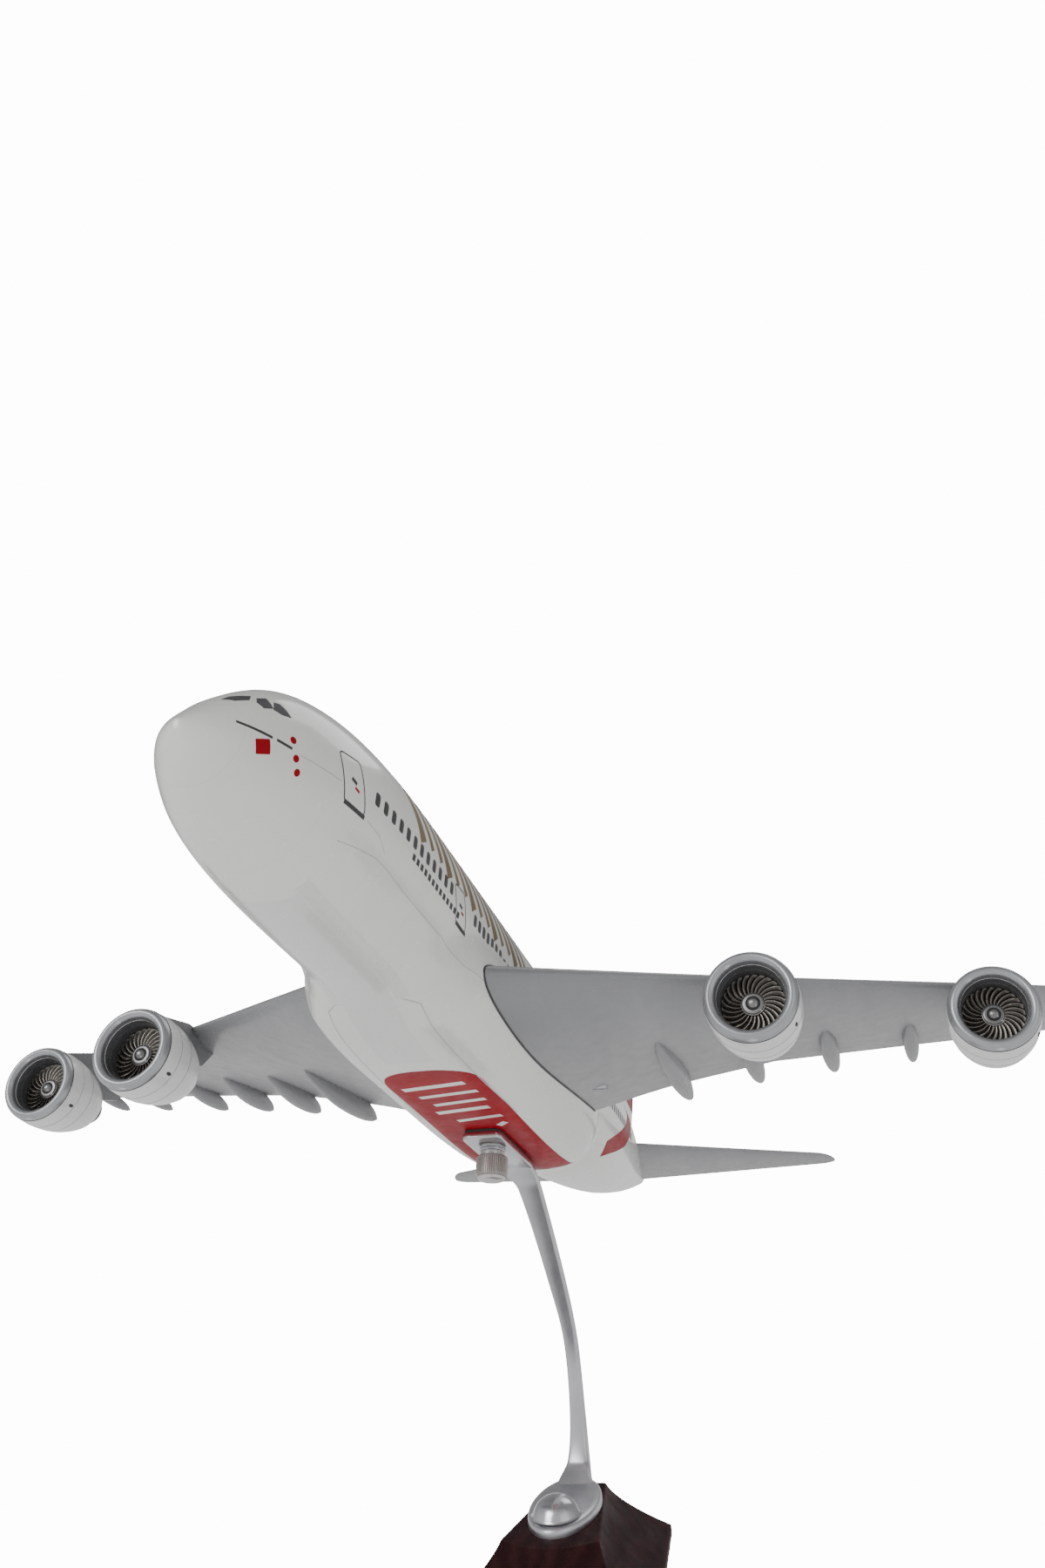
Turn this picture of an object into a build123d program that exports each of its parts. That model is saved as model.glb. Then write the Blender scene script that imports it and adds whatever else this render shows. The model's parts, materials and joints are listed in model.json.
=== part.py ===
from build123d import *
import os
from math import cos, pi, radians, sin, sqrt

os.makedirs("parts", exist_ok=True)

# A 1:160 desk model of a four-engined, two-deck airliner, nose towards -Y, port wing towards +X.
# The airliner is drawn level in its own frame (X port, Y aft of the datum, Z up from mid-fuselage),
# then pitched nose-up and lifted onto a chromed arm that stands on a flared wooden base.
# The model's origin is the middle of the base's underside.

# ---- driving dimensions ----
m = 6.25                       # one metre of the full-size aircraft, in millimetres of the model
pitch = 25.0                   # nose-up attitude on the stand, degrees
lift = 298.7                   # height of the reference line's forward end, the datum, above the desk
setback = 217.95               # how far the datum lies forward of the base's middle

belly_z = -33.0                # the flat under the belly where the stand's plate bears
clamp_y = 227.0                # clamp screw, aft of the datum
running = 0.05                 # radial clearance of turning fits

cowl_radius = 13.4             # engine cowl at its widest
cowl_length = 27.5
lip_radius = 13.0              # bright intake lip, outside
throat_radius = 10.0           # intake lip, inside
duct_radius = 9.1              # inside the cowl, around the fan
lip_depth = 2.6
fan_y = 7.6                    # front face of the fan disc behind the lip
blade_count = 26
shaft_radius = 0.75

arm_foot_y = 22.25             # the arm's footing
nut_y = 7.5                  # dome nut and base bolt
base_top = 40.0
rim_drop = 20.0                # from the base's top face down to its rim
rim_band = 3.5
felt = 1.5

# Fuselage stations in full-size metres: aft of the datum, crown, keel, half-width.
fuselage_stations = (
    (2.59, -1.16, -1.82, 0.34), (2.97, -0.70, -2.34, 0.89), (3.67, 0.09, -2.88, 1.49),
    (4.87, 1.33, -3.45, 2.20), (6.47, 2.60, -3.94, 2.88), (8.47, 3.36, -4.21, 3.33),
    (10.97, 3.87, -4.36, 3.58), (13.97, 4.16, -4.40, 3.68), (17.47, 4.30, -4.40, 3.68),
    (34.47, 4.33, -4.39, 3.67), (46.47, 4.32, -4.27, 3.66), (52.47, 4.21, -3.59, 3.35),
    (58.47, 3.91, -2.52, 2.68), (64.47, 3.45, -0.99, 1.76), (68.97, 2.96, 0.41, 1.05),
    (71.87, 2.47, 1.40, 0.55),
)
nose_tip = (2.47, -1.32)       # aft, up
waist_share = 0.54             # height of the widest line, from keel to crown
# Belly fairing stations: aft, bottom, half-width, height of its upper edge.
fairing_stations = (
    (17.0, -4.15, 2.4, -3.2), (20.0, -4.85, 3.85, -1.9), (24.0, -5.25, 4.4, -0.9),
    (31.0, -5.34, 4.45, -0.7), (39.0, -5.34, 4.4, -0.9), (43.5, -5.0, 4.0, -1.6),
    (47.5, -4.1, 2.7, -2.9),
)
fairing_squareness = 0.62      # 1 is an oval, less is boxier
fairing_waist, fairing_end_waist = -2.3, -3.4         # widest height of its middle and of its ends
belly_cut = {"aft": 31, "length": 40, "width": 80, "depth": 20}  # leaves the belly flat
oval_points = 20
# Wing stations: out from the centreline, leading and trailing edge aft, their heights, thickness ratio.
wing_stations = (
    (3.0, 21.0, 41.4, -2.55, -2.70, 0.125), (8.4, 25.0, 41.5, -1.55, -1.30, 0.110),
    (14.3, 29.5, 42.1, -0.42, -0.05, 0.100), (25.6, 38.1, 47.1, 1.75, 2.25, 0.095),
    (39.4, 48.5, 52.6, 4.35, 4.75, 0.090),
)
tailplane_stations = (
    (0.4, 61.7, 69.7, 1.75, 1.25, 0.100), (15.2, 71.0, 73.0, 2.75, 2.65, 0.090),
)
# Fin stations: height, leading and trailing edge aft, thickness ratio.
fin_stations = ((2.5, 55.1, 69.4, 0.095), (4.6, 57.5, 69.7, 0.095), (17.6, 67.9, 72.4, 0.090))
# Engines: name, out, aft of the datum, up.
engines = (("inner", 15.15, 25.0, -3.06), ("outer", 25.55, 32.0, -1.76))
# Flap-track fairings: out, length, then width and depth in millimetres.
canoe_stations = (
    (9.5, 10.2, 6.0, 9.5), (13.4, 7.3, 6.2, 8.0), (17.4, 6.7, 6.0, 7.5),
    (21.7, 6.3, 5.2, 6.5), (27.4, 5.8, 4.6, 5.6), (32.0, 5.2, 4.0, 5.0),
)
canoe_reach, canoe_drop = 6.3, 3.7      # the fairings' tips behind and below the trailing edge

nodes = {}


# ---- shared helpers ----
def seat(shape):
    """Moves a shape from the level aircraft frame onto the stand."""
    return Pos(0, -setback, lift) * Rot(-pitch, 0, 0) * shape


def stand_point(aft, up):
    """The place on the stand, as (y, z), of a point on the aircraft's plane of symmetry."""
    turn = radians(pitch)
    return (
        aft * cos(turn) + up * sin(turn) - setback,
        -aft * sin(turn) + up * cos(turn) + lift,
    )


def between(value, table, column):
    """Straight-line reading of one column of a station table at a value of its first column."""
    for low, high in zip(table, table[1:]):
        if value <= high[0]:
            share = (value - low[0]) / (high[0] - low[0])
            return low[column] + share * (high[column] - low[column])
    return table[-1][column]


def oval(aft, crown, keel, half_width, waist, squareness=1.0):
    """Closed outline across the aircraft: two half ovals that meet at the waist height."""
    points = []
    for step in range(oval_points):
        angle = 2 * pi * step / oval_points
        out = half_width * abs(cos(angle)) ** squareness * (1 if cos(angle) >= 0 else -1)
        rise = abs(sin(angle)) ** squareness
        up = waist + rise * (crown - waist if sin(angle) >= 0 else keel - waist)
        points.append((out * m, aft * m, up * m))
    return Wire([Spline(*points, periodic=True)])


def half_thickness(share, depth):
    """Half the height of an aerofoil of a given depth, at a share of its chord."""
    form = 0.2969 * sqrt(share) - 0.126 * share - 0.3516 * share**2
    return 5 * depth * (form + 0.2843 * share**3 - 0.1036 * share**4)


def foil(lead, trail, thickness, blunt=0.45):
    """Closed aerofoil outline between two points, thickened in the direction that is not the span."""
    lead, trail = Vector(*lead), Vector(*trail)
    chord = (trail - lead).length
    along = (trail - lead).normalized()
    across = Vector(1, 0, 0) if thickness < 0 else Vector(0, -along.Z, along.Y)
    upper, lower = [], []
    for share in (0.0, 0.012, 0.05, 0.14, 0.30, 0.50, 0.75, 1.0):
        half = half_thickness(share, abs(thickness) * chord) + blunt / 2 * share
        middle = lead + along * (share * chord)
        upper.append(middle + across * half)
        lower.append(middle - across * half)
    return Wire([Spline(*upper), Line(upper[-1], lower[-1]), Spline(*reversed(lower))])


def lifting_surface(stations, side):
    """A wing or tailplane half lofted through its stations; side is +1 for port, -1 for starboard."""
    outlines = [
        foil((side * out * m, lead * m, z1 * m), (side * out * m, trail * m, z2 * m), thick)
        for out, lead, trail, z1, z2, thick in stations
    ]
    return Solid.make_loft(outlines, True)


def turned(profile):
    """Solid of revolution about the Y axis from (radius, y) corner points."""
    outline = Polyline(*[(r, y, 0) for r, y in profile], close=True)
    return revolve(make_face(outline), Axis.Y, 360)


def keep(name, shape):
    nodes[name] = shape


# ---- airframe ----
def make_fuselage():
    sections = [Vertex(0, nose_tip[0] * m, nose_tip[1] * m)]
    for aft, crown, keel, half_width in fuselage_stations:
        waist = keel + waist_share * (crown - keel)
        sections.append(oval(aft, crown, keel, half_width, waist))
    hull = Solid.make_loft(sections, False)
    fairing = Solid.make_loft(
        [oval(a, top, bottom, half, fairing_waist if half > 3 else fairing_end_waist, fairing_squareness)
         for a, bottom, half, top in fairing_stations],
        False,
    )
    cut = Box(belly_cut["width"], belly_cut["length"] * m, belly_cut["depth"])
    below_belly = Pos(0, belly_cut["aft"] * m, belly_z - belly_cut["depth"] / 2) * cut
    return hull + fairing - below_belly


wing_dowel_radius, wing_dowel_half = 1.5, 37.0
wing_dowel_places = ((190.0, -15.0), (232.0, -15.5))
tail_dowel_radius, tail_dowel_half = 0.8, 17.0
tail_dowel_place = (66.0 * m, 1.52 * m)
fin_dowel_radius, fin_dowel_length = 1.2, 16.0
fin_dowel_places = ((61.5 * m, 3.7 * m), (67.0 * m, 3.25 * m))
insert_radius, insert_length = 3.2, 9.0
screw_radius = 2.0
plate_thickness, pad_thickness, washer_thickness = 2.2, 0.9, 0.8


def wing_dowels():
    rods = [Pos(0, y, z) * Rot(0, 90, 0) * Cylinder(wing_dowel_radius, 2 * wing_dowel_half)
            for y, z in wing_dowel_places]
    return Compound(rods)


def tail_dowel():
    y, z = tail_dowel_place
    return Pos(0, y, z) * Rot(0, 90, 0) * Cylinder(tail_dowel_radius, 2 * tail_dowel_half)


def fin_dowels():
    return Compound([Pos(0, y, z) * Cylinder(fin_dowel_radius, fin_dowel_length)
                     for y, z in fin_dowel_places])


def threaded_insert():
    body = Cylinder(insert_radius, insert_length, align=(Align.CENTER, Align.CENTER, Align.MIN))
    bore = Cylinder(screw_radius + running, insert_length - 1.2,
                    align=(Align.CENTER, Align.CENTER, Align.MIN))
    return Pos(0, clamp_y, belly_z) * (body - bore)


def minus_all(shape, tools):
    for tool in tools:
        shape = shape - tool
    return shape


def make_airframe():
    rods, tail_rod, fin_rods = wing_dowels(), tail_dowel(), fin_dowels()
    insert_pocket = Pos(0, clamp_y, belly_z) * Cylinder(
        insert_radius, insert_length, align=(Align.CENTER, Align.CENTER, Align.MIN))
    hull = make_fuselage()
    port_wing = lifting_surface(wing_stations, 1) - hull
    starboard_wing = lifting_surface(wing_stations, -1) - hull
    port_tail = lifting_surface(tailplane_stations, 1) - hull
    starboard_tail = lifting_surface(tailplane_stations, -1) - hull
    fin = Solid.make_loft(
        [foil((0, lead * m, z * m), (0, trail * m, z * m), -thick)
         for z, lead, trail, thick in fin_stations], True) - hull
    keep("fuselage", minus_all(hull, [*rods, tail_rod, *fin_rods, insert_pocket]))
    keep("left_wing", minus_all(port_wing, rods))
    keep("right_wing", minus_all(starboard_wing, rods))
    keep("left_tailplane", port_tail - tail_rod)
    keep("right_tailplane", starboard_tail - tail_rod)
    keep("fin", minus_all(fin, fin_rods))
    keep("wing_dowels", rods)
    keep("tailplane_dowel", tail_rod)
    keep("fin_dowels", fin_rods)
    keep("threaded_insert", threaded_insert())
    return {1: port_wing, -1: starboard_wing}


# ---- wing fittings ----
def wing_reading(out, column):
    return between(out, wing_stations, column) * m


def tip_fence(side):
    """Arrow-shaped fence, above and below the wing tip."""
    out, tip = wing_stations[-1][0] * m, wing_stations[-1]
    lead, trail, level = tip[1] * m, tip[2] * m, tip[4] * m
    outline = Polyline(
        (0, lead - 1.0, level - 3.0), (0, trail - 1.5, level + 8.5), (0, trail + 4.0, level + 9.0),
        (0, trail + 2.0, level), (0, trail + 4.5, level - 7.5), (0, trail + 0.5, level - 7.5),
        close=True)
    blade = extrude(make_face(outline), 1.3, dir=(side, 0, 0))
    return Pos(side * out, 0, 0) * blade


# Fairing form: share of its length, share of its full width and depth.
canoe_form = ((0.0, 0), (0.08, 0.40), (0.26, 0.80), (0.52, 1.0), (0.78, 0.82), (0.93, 0.48), (1.0, 0))


def canoe(out, length, width, depth, side):
    """Flap-track fairing: a boat-shaped pod from under the wing to just behind its trailing edge."""
    lead, trail = wing_reading(out, 1), wing_reading(out, 2)
    lead_z, trail_z = wing_reading(out, 3), wing_reading(out, 4)
    end = trail + canoe_reach
    start = end - length * m
    share = (start - lead) / (trail - lead)
    under = half_thickness(share, between(out, wing_stations, 5) * (trail - lead))
    start_z = lead_z + share * (trail_z - lead_z) - under + 0.5
    sections = []
    for along, size in canoe_form:
        y = start + along * (end - start)
        z = start_z + along * (trail_z - canoe_drop - start_z)
        if size == 0:
            sections.append(Vertex(side * out * m, y, z))
        else:
            plane = Plane(origin=(side * out * m, y, z), x_dir=(1, 0, 0), z_dir=(0, -1, 0))
            sections.append((plane * Ellipse(width / 2 * size, depth / 2 * size)).wire())
    return Solid.make_loft(sections, False)


def make_wing_fittings(wings):
    for name, side in (("left", 1), ("right", -1)):
        pods = [canoe(*station, side) - wings[side] for station in canoe_stations]
        pods = [max(pod.solids(), key=lambda piece: piece.volume) for pod in pods]
        keep(f"{name}_flap_track_fairings", Compound(pods))
        keep(f"{name}_wingtip_fence", tip_fence(side) - wings[side])


# ---- engines, each drawn with its lip in the XZ plane and its axis along +Y ----
# Cowl outlines, (radius, distance behind the lip).
cowl_outside = [(lip_radius, lip_depth), (13.3, 5.5), (cowl_radius, 9.0), (13.1, 14.0), (12.1, 19.5),
                (10.6, 24.0), (9.0, cowl_length)]
cowl_inside = [(8.6, cowl_length), (duct_radius, 20.0), (duct_radius, 6.5), (9.5, lip_depth)]


def engine_cowl():
    edge = (Spline(*[(r, y, 0) for r, y in cowl_outside])
            + Polyline(*[(r, y, 0) for r, y in [cowl_outside[-1]] + cowl_inside + [cowl_outside[0]]]))
    return revolve(make_face(edge), Axis.Y, 360)


def intake_lip():
    nose = Spline((9.5, lip_depth, 0), (throat_radius - 0.1, 1.0, 0), (11.3, 0.0, 0),
                  (12.6, 0.9, 0), (lip_radius, lip_depth, 0))
    return revolve(make_face(nose + Line((lip_radius, lip_depth, 0), (9.5, lip_depth, 0))), Axis.Y, 360)


hub_radius, hub_length = 3.1, 2.6
blade_tip, blade_width, blade_depth = 8.85, 0.5, 1.4
web_thickness = 0.5


def fan_wheel():
    """Hub with a ring, a web behind, and curved blades; bored for its shaft."""
    up = Plane(origin=(0, fan_y, 0), x_dir=(1, 0, 0), z_dir=(0, 1, 0))
    web = extrude(up * Pos(0, 0, blade_depth) * Circle(blade_tip), web_thickness)
    hub = extrude(up * Circle(hub_radius), hub_length)
    root, sweep = hub_radius - 0.3, radians(19)
    tip = (blade_tip * cos(sweep), blade_tip * sin(sweep))
    back_tip = (blade_tip * cos(sweep * 1.2), blade_tip * sin(sweep * 1.2))
    strip = make_face(
        ThreePointArc((root, 0), (6.0, 0.75), tip) + Line(tip, back_tip)
        + ThreePointArc(back_tip, (5.85, 0.75 + blade_width), (root, blade_width))
        + Line((root, blade_width), (root, 0)))
    blades = [up * Rot(0, 0, 360 * i / blade_count) * strip for i in range(blade_count)]
    wheel = hub + web
    for blade in blades:
        wheel = wheel + extrude(blade, blade_depth + 0.1)
    bore = extrude(up * Pos(0, 0, -1) * Circle(shaft_radius + running), hub_length + 2)
    return wheel - bore


def spinner():
    """Domed spinner with a stepped ring; its shaft hole is blind."""
    dome = Spline((0.0, 0.0, 0), (1.3, 0.35, 0), (2.2, 1.35, 0), tangents=[(1, 0, 0), (0.5, 1, 0)])
    rest = Polyline((2.2, 1.35, 0), (hub_radius, 1.5, 0), (hub_radius, 1.9, 0), (0, 1.9, 0), (0, 0, 0))
    return Pos(0, fan_y - 1.9, 0) * revolve(make_face(dome + rest), Axis.Y, 360)


core_disc = (11.2, 14.0)
core_profile = [(0, core_disc[0]), (duct_radius, core_disc[0]), (duct_radius, core_disc[1]),
                (6.4, core_disc[1]), (6.6, 22.0), (6.0, 28.0), (4.6, 34.0), (4.1, 34.0),
                (2.6, 34.6), (1.4, 37.5), (0.0, 39.5)]


def core_cowl():
    """Bulkhead behind the fan, the hot-section cowl and its tail plug, with the shaft hole."""
    body = turned(core_profile)
    hole = Pos(0, core_disc[0] + 3.0, 0) * Rot(90, 0, 0) * Cylinder(shaft_radius, 6.0)
    return body - hole


def fan_shaft():
    front, back = fan_y + 0.15, core_disc[0] + 6.0
    return Pos(0, (front + back) / 2, 0) * Rot(90, 0, 0) * Cylinder(shaft_radius, back - front)


pylon_half_width = 1.25
# What the pylon keeps clear of: the cowl and the hot section, each a little proud of the piece.
cowl_room = [(0, 0), (13.0, 0), (13.0, lip_depth), (13.3, 5.5), (13.45, 9.0), (13.2, 14.0), (12.25, 19.5),
             (10.8, 24.0), (9.1, cowl_length), (0, cowl_length)]
core_room = [(0, 14.0), (6.4, 14.0), (6.65, 22.0), (6.1, 28.0), (4.7, 34.0), (0, 34.0)]


def pylon(out, aft, up, side, wing):
    """Strut between the cowl and the wing's leading edge, trimmed to both."""
    lead = wing_reading(out, 1) - aft * m
    level = wing_reading(out, 3) - up * m
    outline = make_face(Polyline(
        (0, 6.5, 12.6), (0, 13.0, 15.0), (0, lead - 3.0, level + 0.9), (0, lead + 4.0, level + 0.6),
        (0, lead + 17.0, level - 1.0), (0, lead + 9.0, 8.0), (0, 33.0, 4.0), (0, 20.0, 6.0), close=True))
    strut = extrude(outline, pylon_half_width, dir=(1, 0, 0), both=True)
    strut = strut - turned(cowl_room) - turned(core_room)
    placed = Pos(side * out * m, aft * m, up * m) * strut
    return max((placed - wing).solids(), key=lambda s: s.volume)


def make_engines(wings):
    pieces = {"nacelle": engine_cowl(), "intake_lip": intake_lip(), "fan": fan_wheel(),
              "spinner": spinner(), "core_cowl": core_cowl(), "fan_shaft": fan_shaft()}
    for wing_name, side in (("left", 1), ("right", -1)):
        for place, out, aft, up in engines:
            spot = Pos(side * out * m, aft * m, up * m)
            for piece, shape in pieces.items():
                keep(f"{wing_name}_{place}_{piece}", spot * shape)
            keep(f"{wing_name}_{place}_pylon", pylon(out, aft, up, side, wings[side]))


# ---- clamp between the belly and the stand ----
def ring(outer, inner, thickness):
    """Flat ring whose top face is at z = 0."""
    down = (Align.CENTER, Align.CENTER, Align.MAX)
    return Cylinder(outer, thickness, align=down) - Cylinder(inner, thickness, align=down)


screw_hole = 2.35
plate_width, plate_front, plate_back = 13.0, 214.0, 252.0
pad_back = 247.0
knob_radius, knob_height, knurl_count = 5.0, 6.6, 40


def at_clamp(depth):
    """A place on the clamp screw's axis, a depth below the belly flat."""
    return Pos(0, clamp_y, belly_z - depth)


def plate_outline(back, width):
    length = back - plate_front
    return Pos(0, (plate_front + back) / 2, 0) * RectangleRounded(width, length, 3.0)


def plate_pad():
    blank = extrude(Pos(0, 0, belly_z - running) * plate_outline(pad_back, plate_width - 1.0),
                    -pad_thickness + running)
    return blank - at_clamp(0.5) * Cylinder(screw_hole, 4)


knurl_radius, collar_radius, collar_height = 0.26, 3.9, 1.5
screw_reach = 7.0                                      # past the belly flat


def thumb_screw():
    """Knurled knob with a collar, a domed end and the screw, in one piece on the screw's axis."""
    down = (Align.CENTER, Align.CENTER, Align.MAX)
    knurls = [Rot(0, 0, 360 * i / knurl_count) * Pos(knob_radius + 0.05, 0) * Circle(knurl_radius)
              for i in range(knurl_count)]
    section = Circle(knob_radius) - Sketch() - knurls
    grip = Pos(0, 0, -collar_height) * extrude(section, -knob_height)
    collar = Cylinder(collar_radius, collar_height, align=down)
    end = Pos(0, 0, -collar_height - knob_height) * Cone(3.0, 4.4, 1.3, align=down)
    reach = screw_reach + plate_thickness + pad_thickness + washer_thickness
    stem = Cylinder(screw_radius, reach, align=(Align.CENTER, Align.CENTER, Align.MIN))
    return grip + collar + end + stem


def make_clamp():
    washer_top = pad_thickness + plate_thickness + running
    keep("plate_pad", plate_pad())
    keep("clamp_washer", at_clamp(washer_top) * ring(4.3, screw_radius + running, washer_thickness))
    keep("thumb_screw", at_clamp(washer_top + washer_thickness + running) * thumb_screw())


# ---- stand ----
# Arm route below the plate: aft of the footing, height above the base's top face.
arm_points = ((12.7, 72.4), (23.7, 48.5), (24.0, 22.6), (19.6, 7.0), (11.5, 1.8))
# Arm form: share of its length, width across, thickness.
arm_form = ((0.0, 12.6, 2.2), (0.10, 9.0, 3.0), (0.24, 5.6, 3.8), (0.45, 4.8, 4.0), (0.65, 5.4, 4.2),
            (0.82, 6.8, 5.0), (0.92, 9.5, 5.0), (1.0, 16.0, 3.0))
foot_half_width, foot_half_length, foot_thickness = 12.2, 22.0, 3.4
foot_lead = 3.0                # how far the foot's middle lies ahead of the footing
bolt_radius, bolt_hole = 2.5, 2.75
head_hole, head_depth = 5.2, 4.5


def stand_arm():
    """Plate under the belly, a curved arm and an oval foot, cast in one."""
    plate = extrude(Pos(0, 0, belly_z - pad_thickness) * plate_outline(plate_back, plate_width),
                    -plate_thickness)
    plate = seat(plate - at_clamp(2) * Cylinder(screw_hole, 8))
    middle = belly_z - pad_thickness - plate_thickness / 2
    start, lean = stand_point(plate_back - 4, middle), stand_point(plate_back + 16, middle - 1.2)
    bends = [(0, arm_foot_y + y, base_top + z) for y, z in arm_points]
    route = Spline((0, *start), (0, *lean), *bends,
                   tangents=[(0, cos(radians(pitch)), -sin(radians(pitch))), (0, -1, -0.15)])
    sections = []
    for share, width, thickness in arm_form:
        plane = Plane(origin=route @ share, x_dir=(1, 0, 0), z_dir=route % share)
        sections.append((plane * RectangleRounded(width, thickness, 0.3 * thickness)).wire())
    arm = Solid.make_loft(sections, False)
    foot = extrude(Pos(0, arm_foot_y - foot_lead, base_top) * Ellipse(foot_half_width, foot_half_length),
                   foot_thickness)
    foot = fillet(foot.faces().sort_by(Axis.Z)[-1].edges(), 1.8)
    below_foot = Pos(0, arm_foot_y, base_top - 5) * Box(60, 90, 10)
    bolt_way = Pos(0, nut_y, base_top) * Cylinder(bolt_hole, 20)
    return plate + arm + foot - below_foot - bolt_way


nut_radius, nut_height, nut_rim = 8.2, 6.4, 0.9


def dome_nut():
    """Domed nut over the foot, tapped blind for the base bolt."""
    crown = Spline((0, 0, nut_height), (5.2, 0, 4.9), (nut_radius, 0, nut_rim))
    side = Polyline((nut_radius, 0, nut_rim), (nut_radius, 0, 0), (0, 0, 0), (0, 0, nut_height))
    tapped = Cylinder(bolt_radius, 6.0)
    return Pos(0, nut_y, base_top + foot_thickness) * (revolve(make_face(crown + side), Axis.Z, 360) - tapped)


top_front, top_back = (17.0, -25.5), (9.3, 20.5)      # corners of the top face, about the footing
rim_front, rim_back = (39.6, -73.0), (28.8, 34.5)     # corners of the rim
top_bow = 6.0


def base_outline(share, z, inset=0.0):
    """Four-cornered outline with a bowed front; share 0 is the top face and share 1 the rim."""
    def corner(top, rim):
        x = top[0] + share * (rim[0] - top[0]) - inset
        y = top[1] + share * (rim[1] - top[1])
        return x, y + inset if y < 0 else y - inset
    xf, yf = corner(top_front, rim_front)
    xb, yb = corner(top_back, rim_back)
    yf, yb = yf + arm_foot_y, yb + arm_foot_y
    return Wire([
        ThreePointArc((-xf, yf, z), (0, yf - top_bow, z), (xf, yf, z)),
        Line((xf, yf, z), (xb, yb, z)), Line((xb, yb, z), (-xb, yb, z)), Line((-xb, yb, z), (-xf, yf, z)),
    ])


flare_levels, flare_power = 6, 1.35


def wood_base():
    flare = []
    for level in range(flare_levels):
        drop = level / (flare_levels - 1)
        flare.append(base_outline(drop**flare_power, base_top - drop * rim_drop))
    rim_z = base_top - rim_drop
    flank = Solid.make_loft(flare, False)
    band = Solid.make_loft([base_outline(1, rim_z), base_outline(1, rim_z - rim_band)], True)
    skirt = Solid.make_loft([base_outline(1, rim_z - rim_band, 1.6), base_outline(1, felt, 4.6)], True)
    bolt_way = Pos(0, nut_y, base_top / 2) * Cylinder(bolt_hole, base_top)
    head_way = Pos(0, nut_y, felt) * Cylinder(head_hole, 2 * head_depth)
    return flank + band + skirt - bolt_way - head_way


bolt_in_nut, bolt_head_radius, bolt_head_height = 2.8, 4.8, 2.9


def base_bolt():
    """Pan-headed bolt up through the base and the foot, into the domed nut."""
    up = (Align.CENTER, Align.CENTER, Align.MIN)
    head_bottom = felt + 1.6
    shank = Cylinder(bolt_radius, base_top + foot_thickness + bolt_in_nut - head_bottom, align=up)
    head = Cylinder(bolt_head_radius, bolt_head_height, align=up)
    slot = Box(1.2, 7.0, 2.0)
    return Pos(0, nut_y, head_bottom) * (shank + head - slot)


def base_pad():
    blank = Solid.make_loft([base_outline(1, 0.0, 5.0), base_outline(1, felt, 5.0)], True)
    return blank - Pos(0, nut_y, 0) * Cylinder(head_hole, 8)


def make_stand():
    keep("stand_arm", stand_arm())
    keep("foot_dome_nut", dome_nut())
    keep("wood_base", wood_base())
    keep("base_bolt", base_bolt())
    keep("felt_pad", base_pad())


# ---- assembly ----
wings = make_airframe()
make_wing_fittings(wings)
make_engines(wings)
make_clamp()
nodes = {name: seat(shape) for name, shape in nodes.items()}
make_stand()
for name, shape in nodes.items():
    export_step(shape if isinstance(shape, Compound) else Compound([shape]), f"parts/{name}.step")
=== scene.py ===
import bpy
import bmesh
import json
import math
from mathutils import Matrix, Vector
from mathutils.bvhtree import BVHTree


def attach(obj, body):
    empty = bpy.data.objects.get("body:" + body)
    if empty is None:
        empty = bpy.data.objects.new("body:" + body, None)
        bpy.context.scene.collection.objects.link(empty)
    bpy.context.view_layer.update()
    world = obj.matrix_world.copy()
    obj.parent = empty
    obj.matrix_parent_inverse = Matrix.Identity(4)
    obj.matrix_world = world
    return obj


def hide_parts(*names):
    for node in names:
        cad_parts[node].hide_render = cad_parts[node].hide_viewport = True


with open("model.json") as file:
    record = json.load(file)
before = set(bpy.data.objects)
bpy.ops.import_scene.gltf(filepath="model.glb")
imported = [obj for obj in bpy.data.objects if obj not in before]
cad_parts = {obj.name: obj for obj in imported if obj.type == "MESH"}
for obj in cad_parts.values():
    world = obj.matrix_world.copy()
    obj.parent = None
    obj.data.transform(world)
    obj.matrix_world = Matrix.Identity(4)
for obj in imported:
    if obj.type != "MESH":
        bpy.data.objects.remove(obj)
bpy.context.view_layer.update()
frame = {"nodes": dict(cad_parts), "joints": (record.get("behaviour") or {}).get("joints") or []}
joints = {joint["name"]: joint for joint in frame["joints"]}
metre = 0.00625  # one metre of the full-size airliner
mm = 0.001

# The airliner is drawn level: x to port, y aft of the nose, z up. toStand puts it on its stand.
clampPlace = {"aft": 0.227, "up": -0.033}
clampPoint = Vector(joints["aircraft_swivel"]["pos_m"])
upward = -Vector(joints["aircraft_swivel"]["axis"]).normalized()
portward = Vector((1, 0, 0))
aftward = upward.cross(portward)
noseEnd = clampPoint - aftward * clampPlace["aft"] - upward * clampPlace["up"]
toStand = Matrix((portward, aftward, upward)).transposed().to_4x4()
toStand.translation = noseEnd
toLevel = toStand.inverted()


def mix(a, b, share):
    return a + (b - a) * share


def smoothStep(low, high, value):
    share = min(1.0, max(0.0, (value - low) / (high - low)))
    return share * share * (3 - 2 * share)


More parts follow.
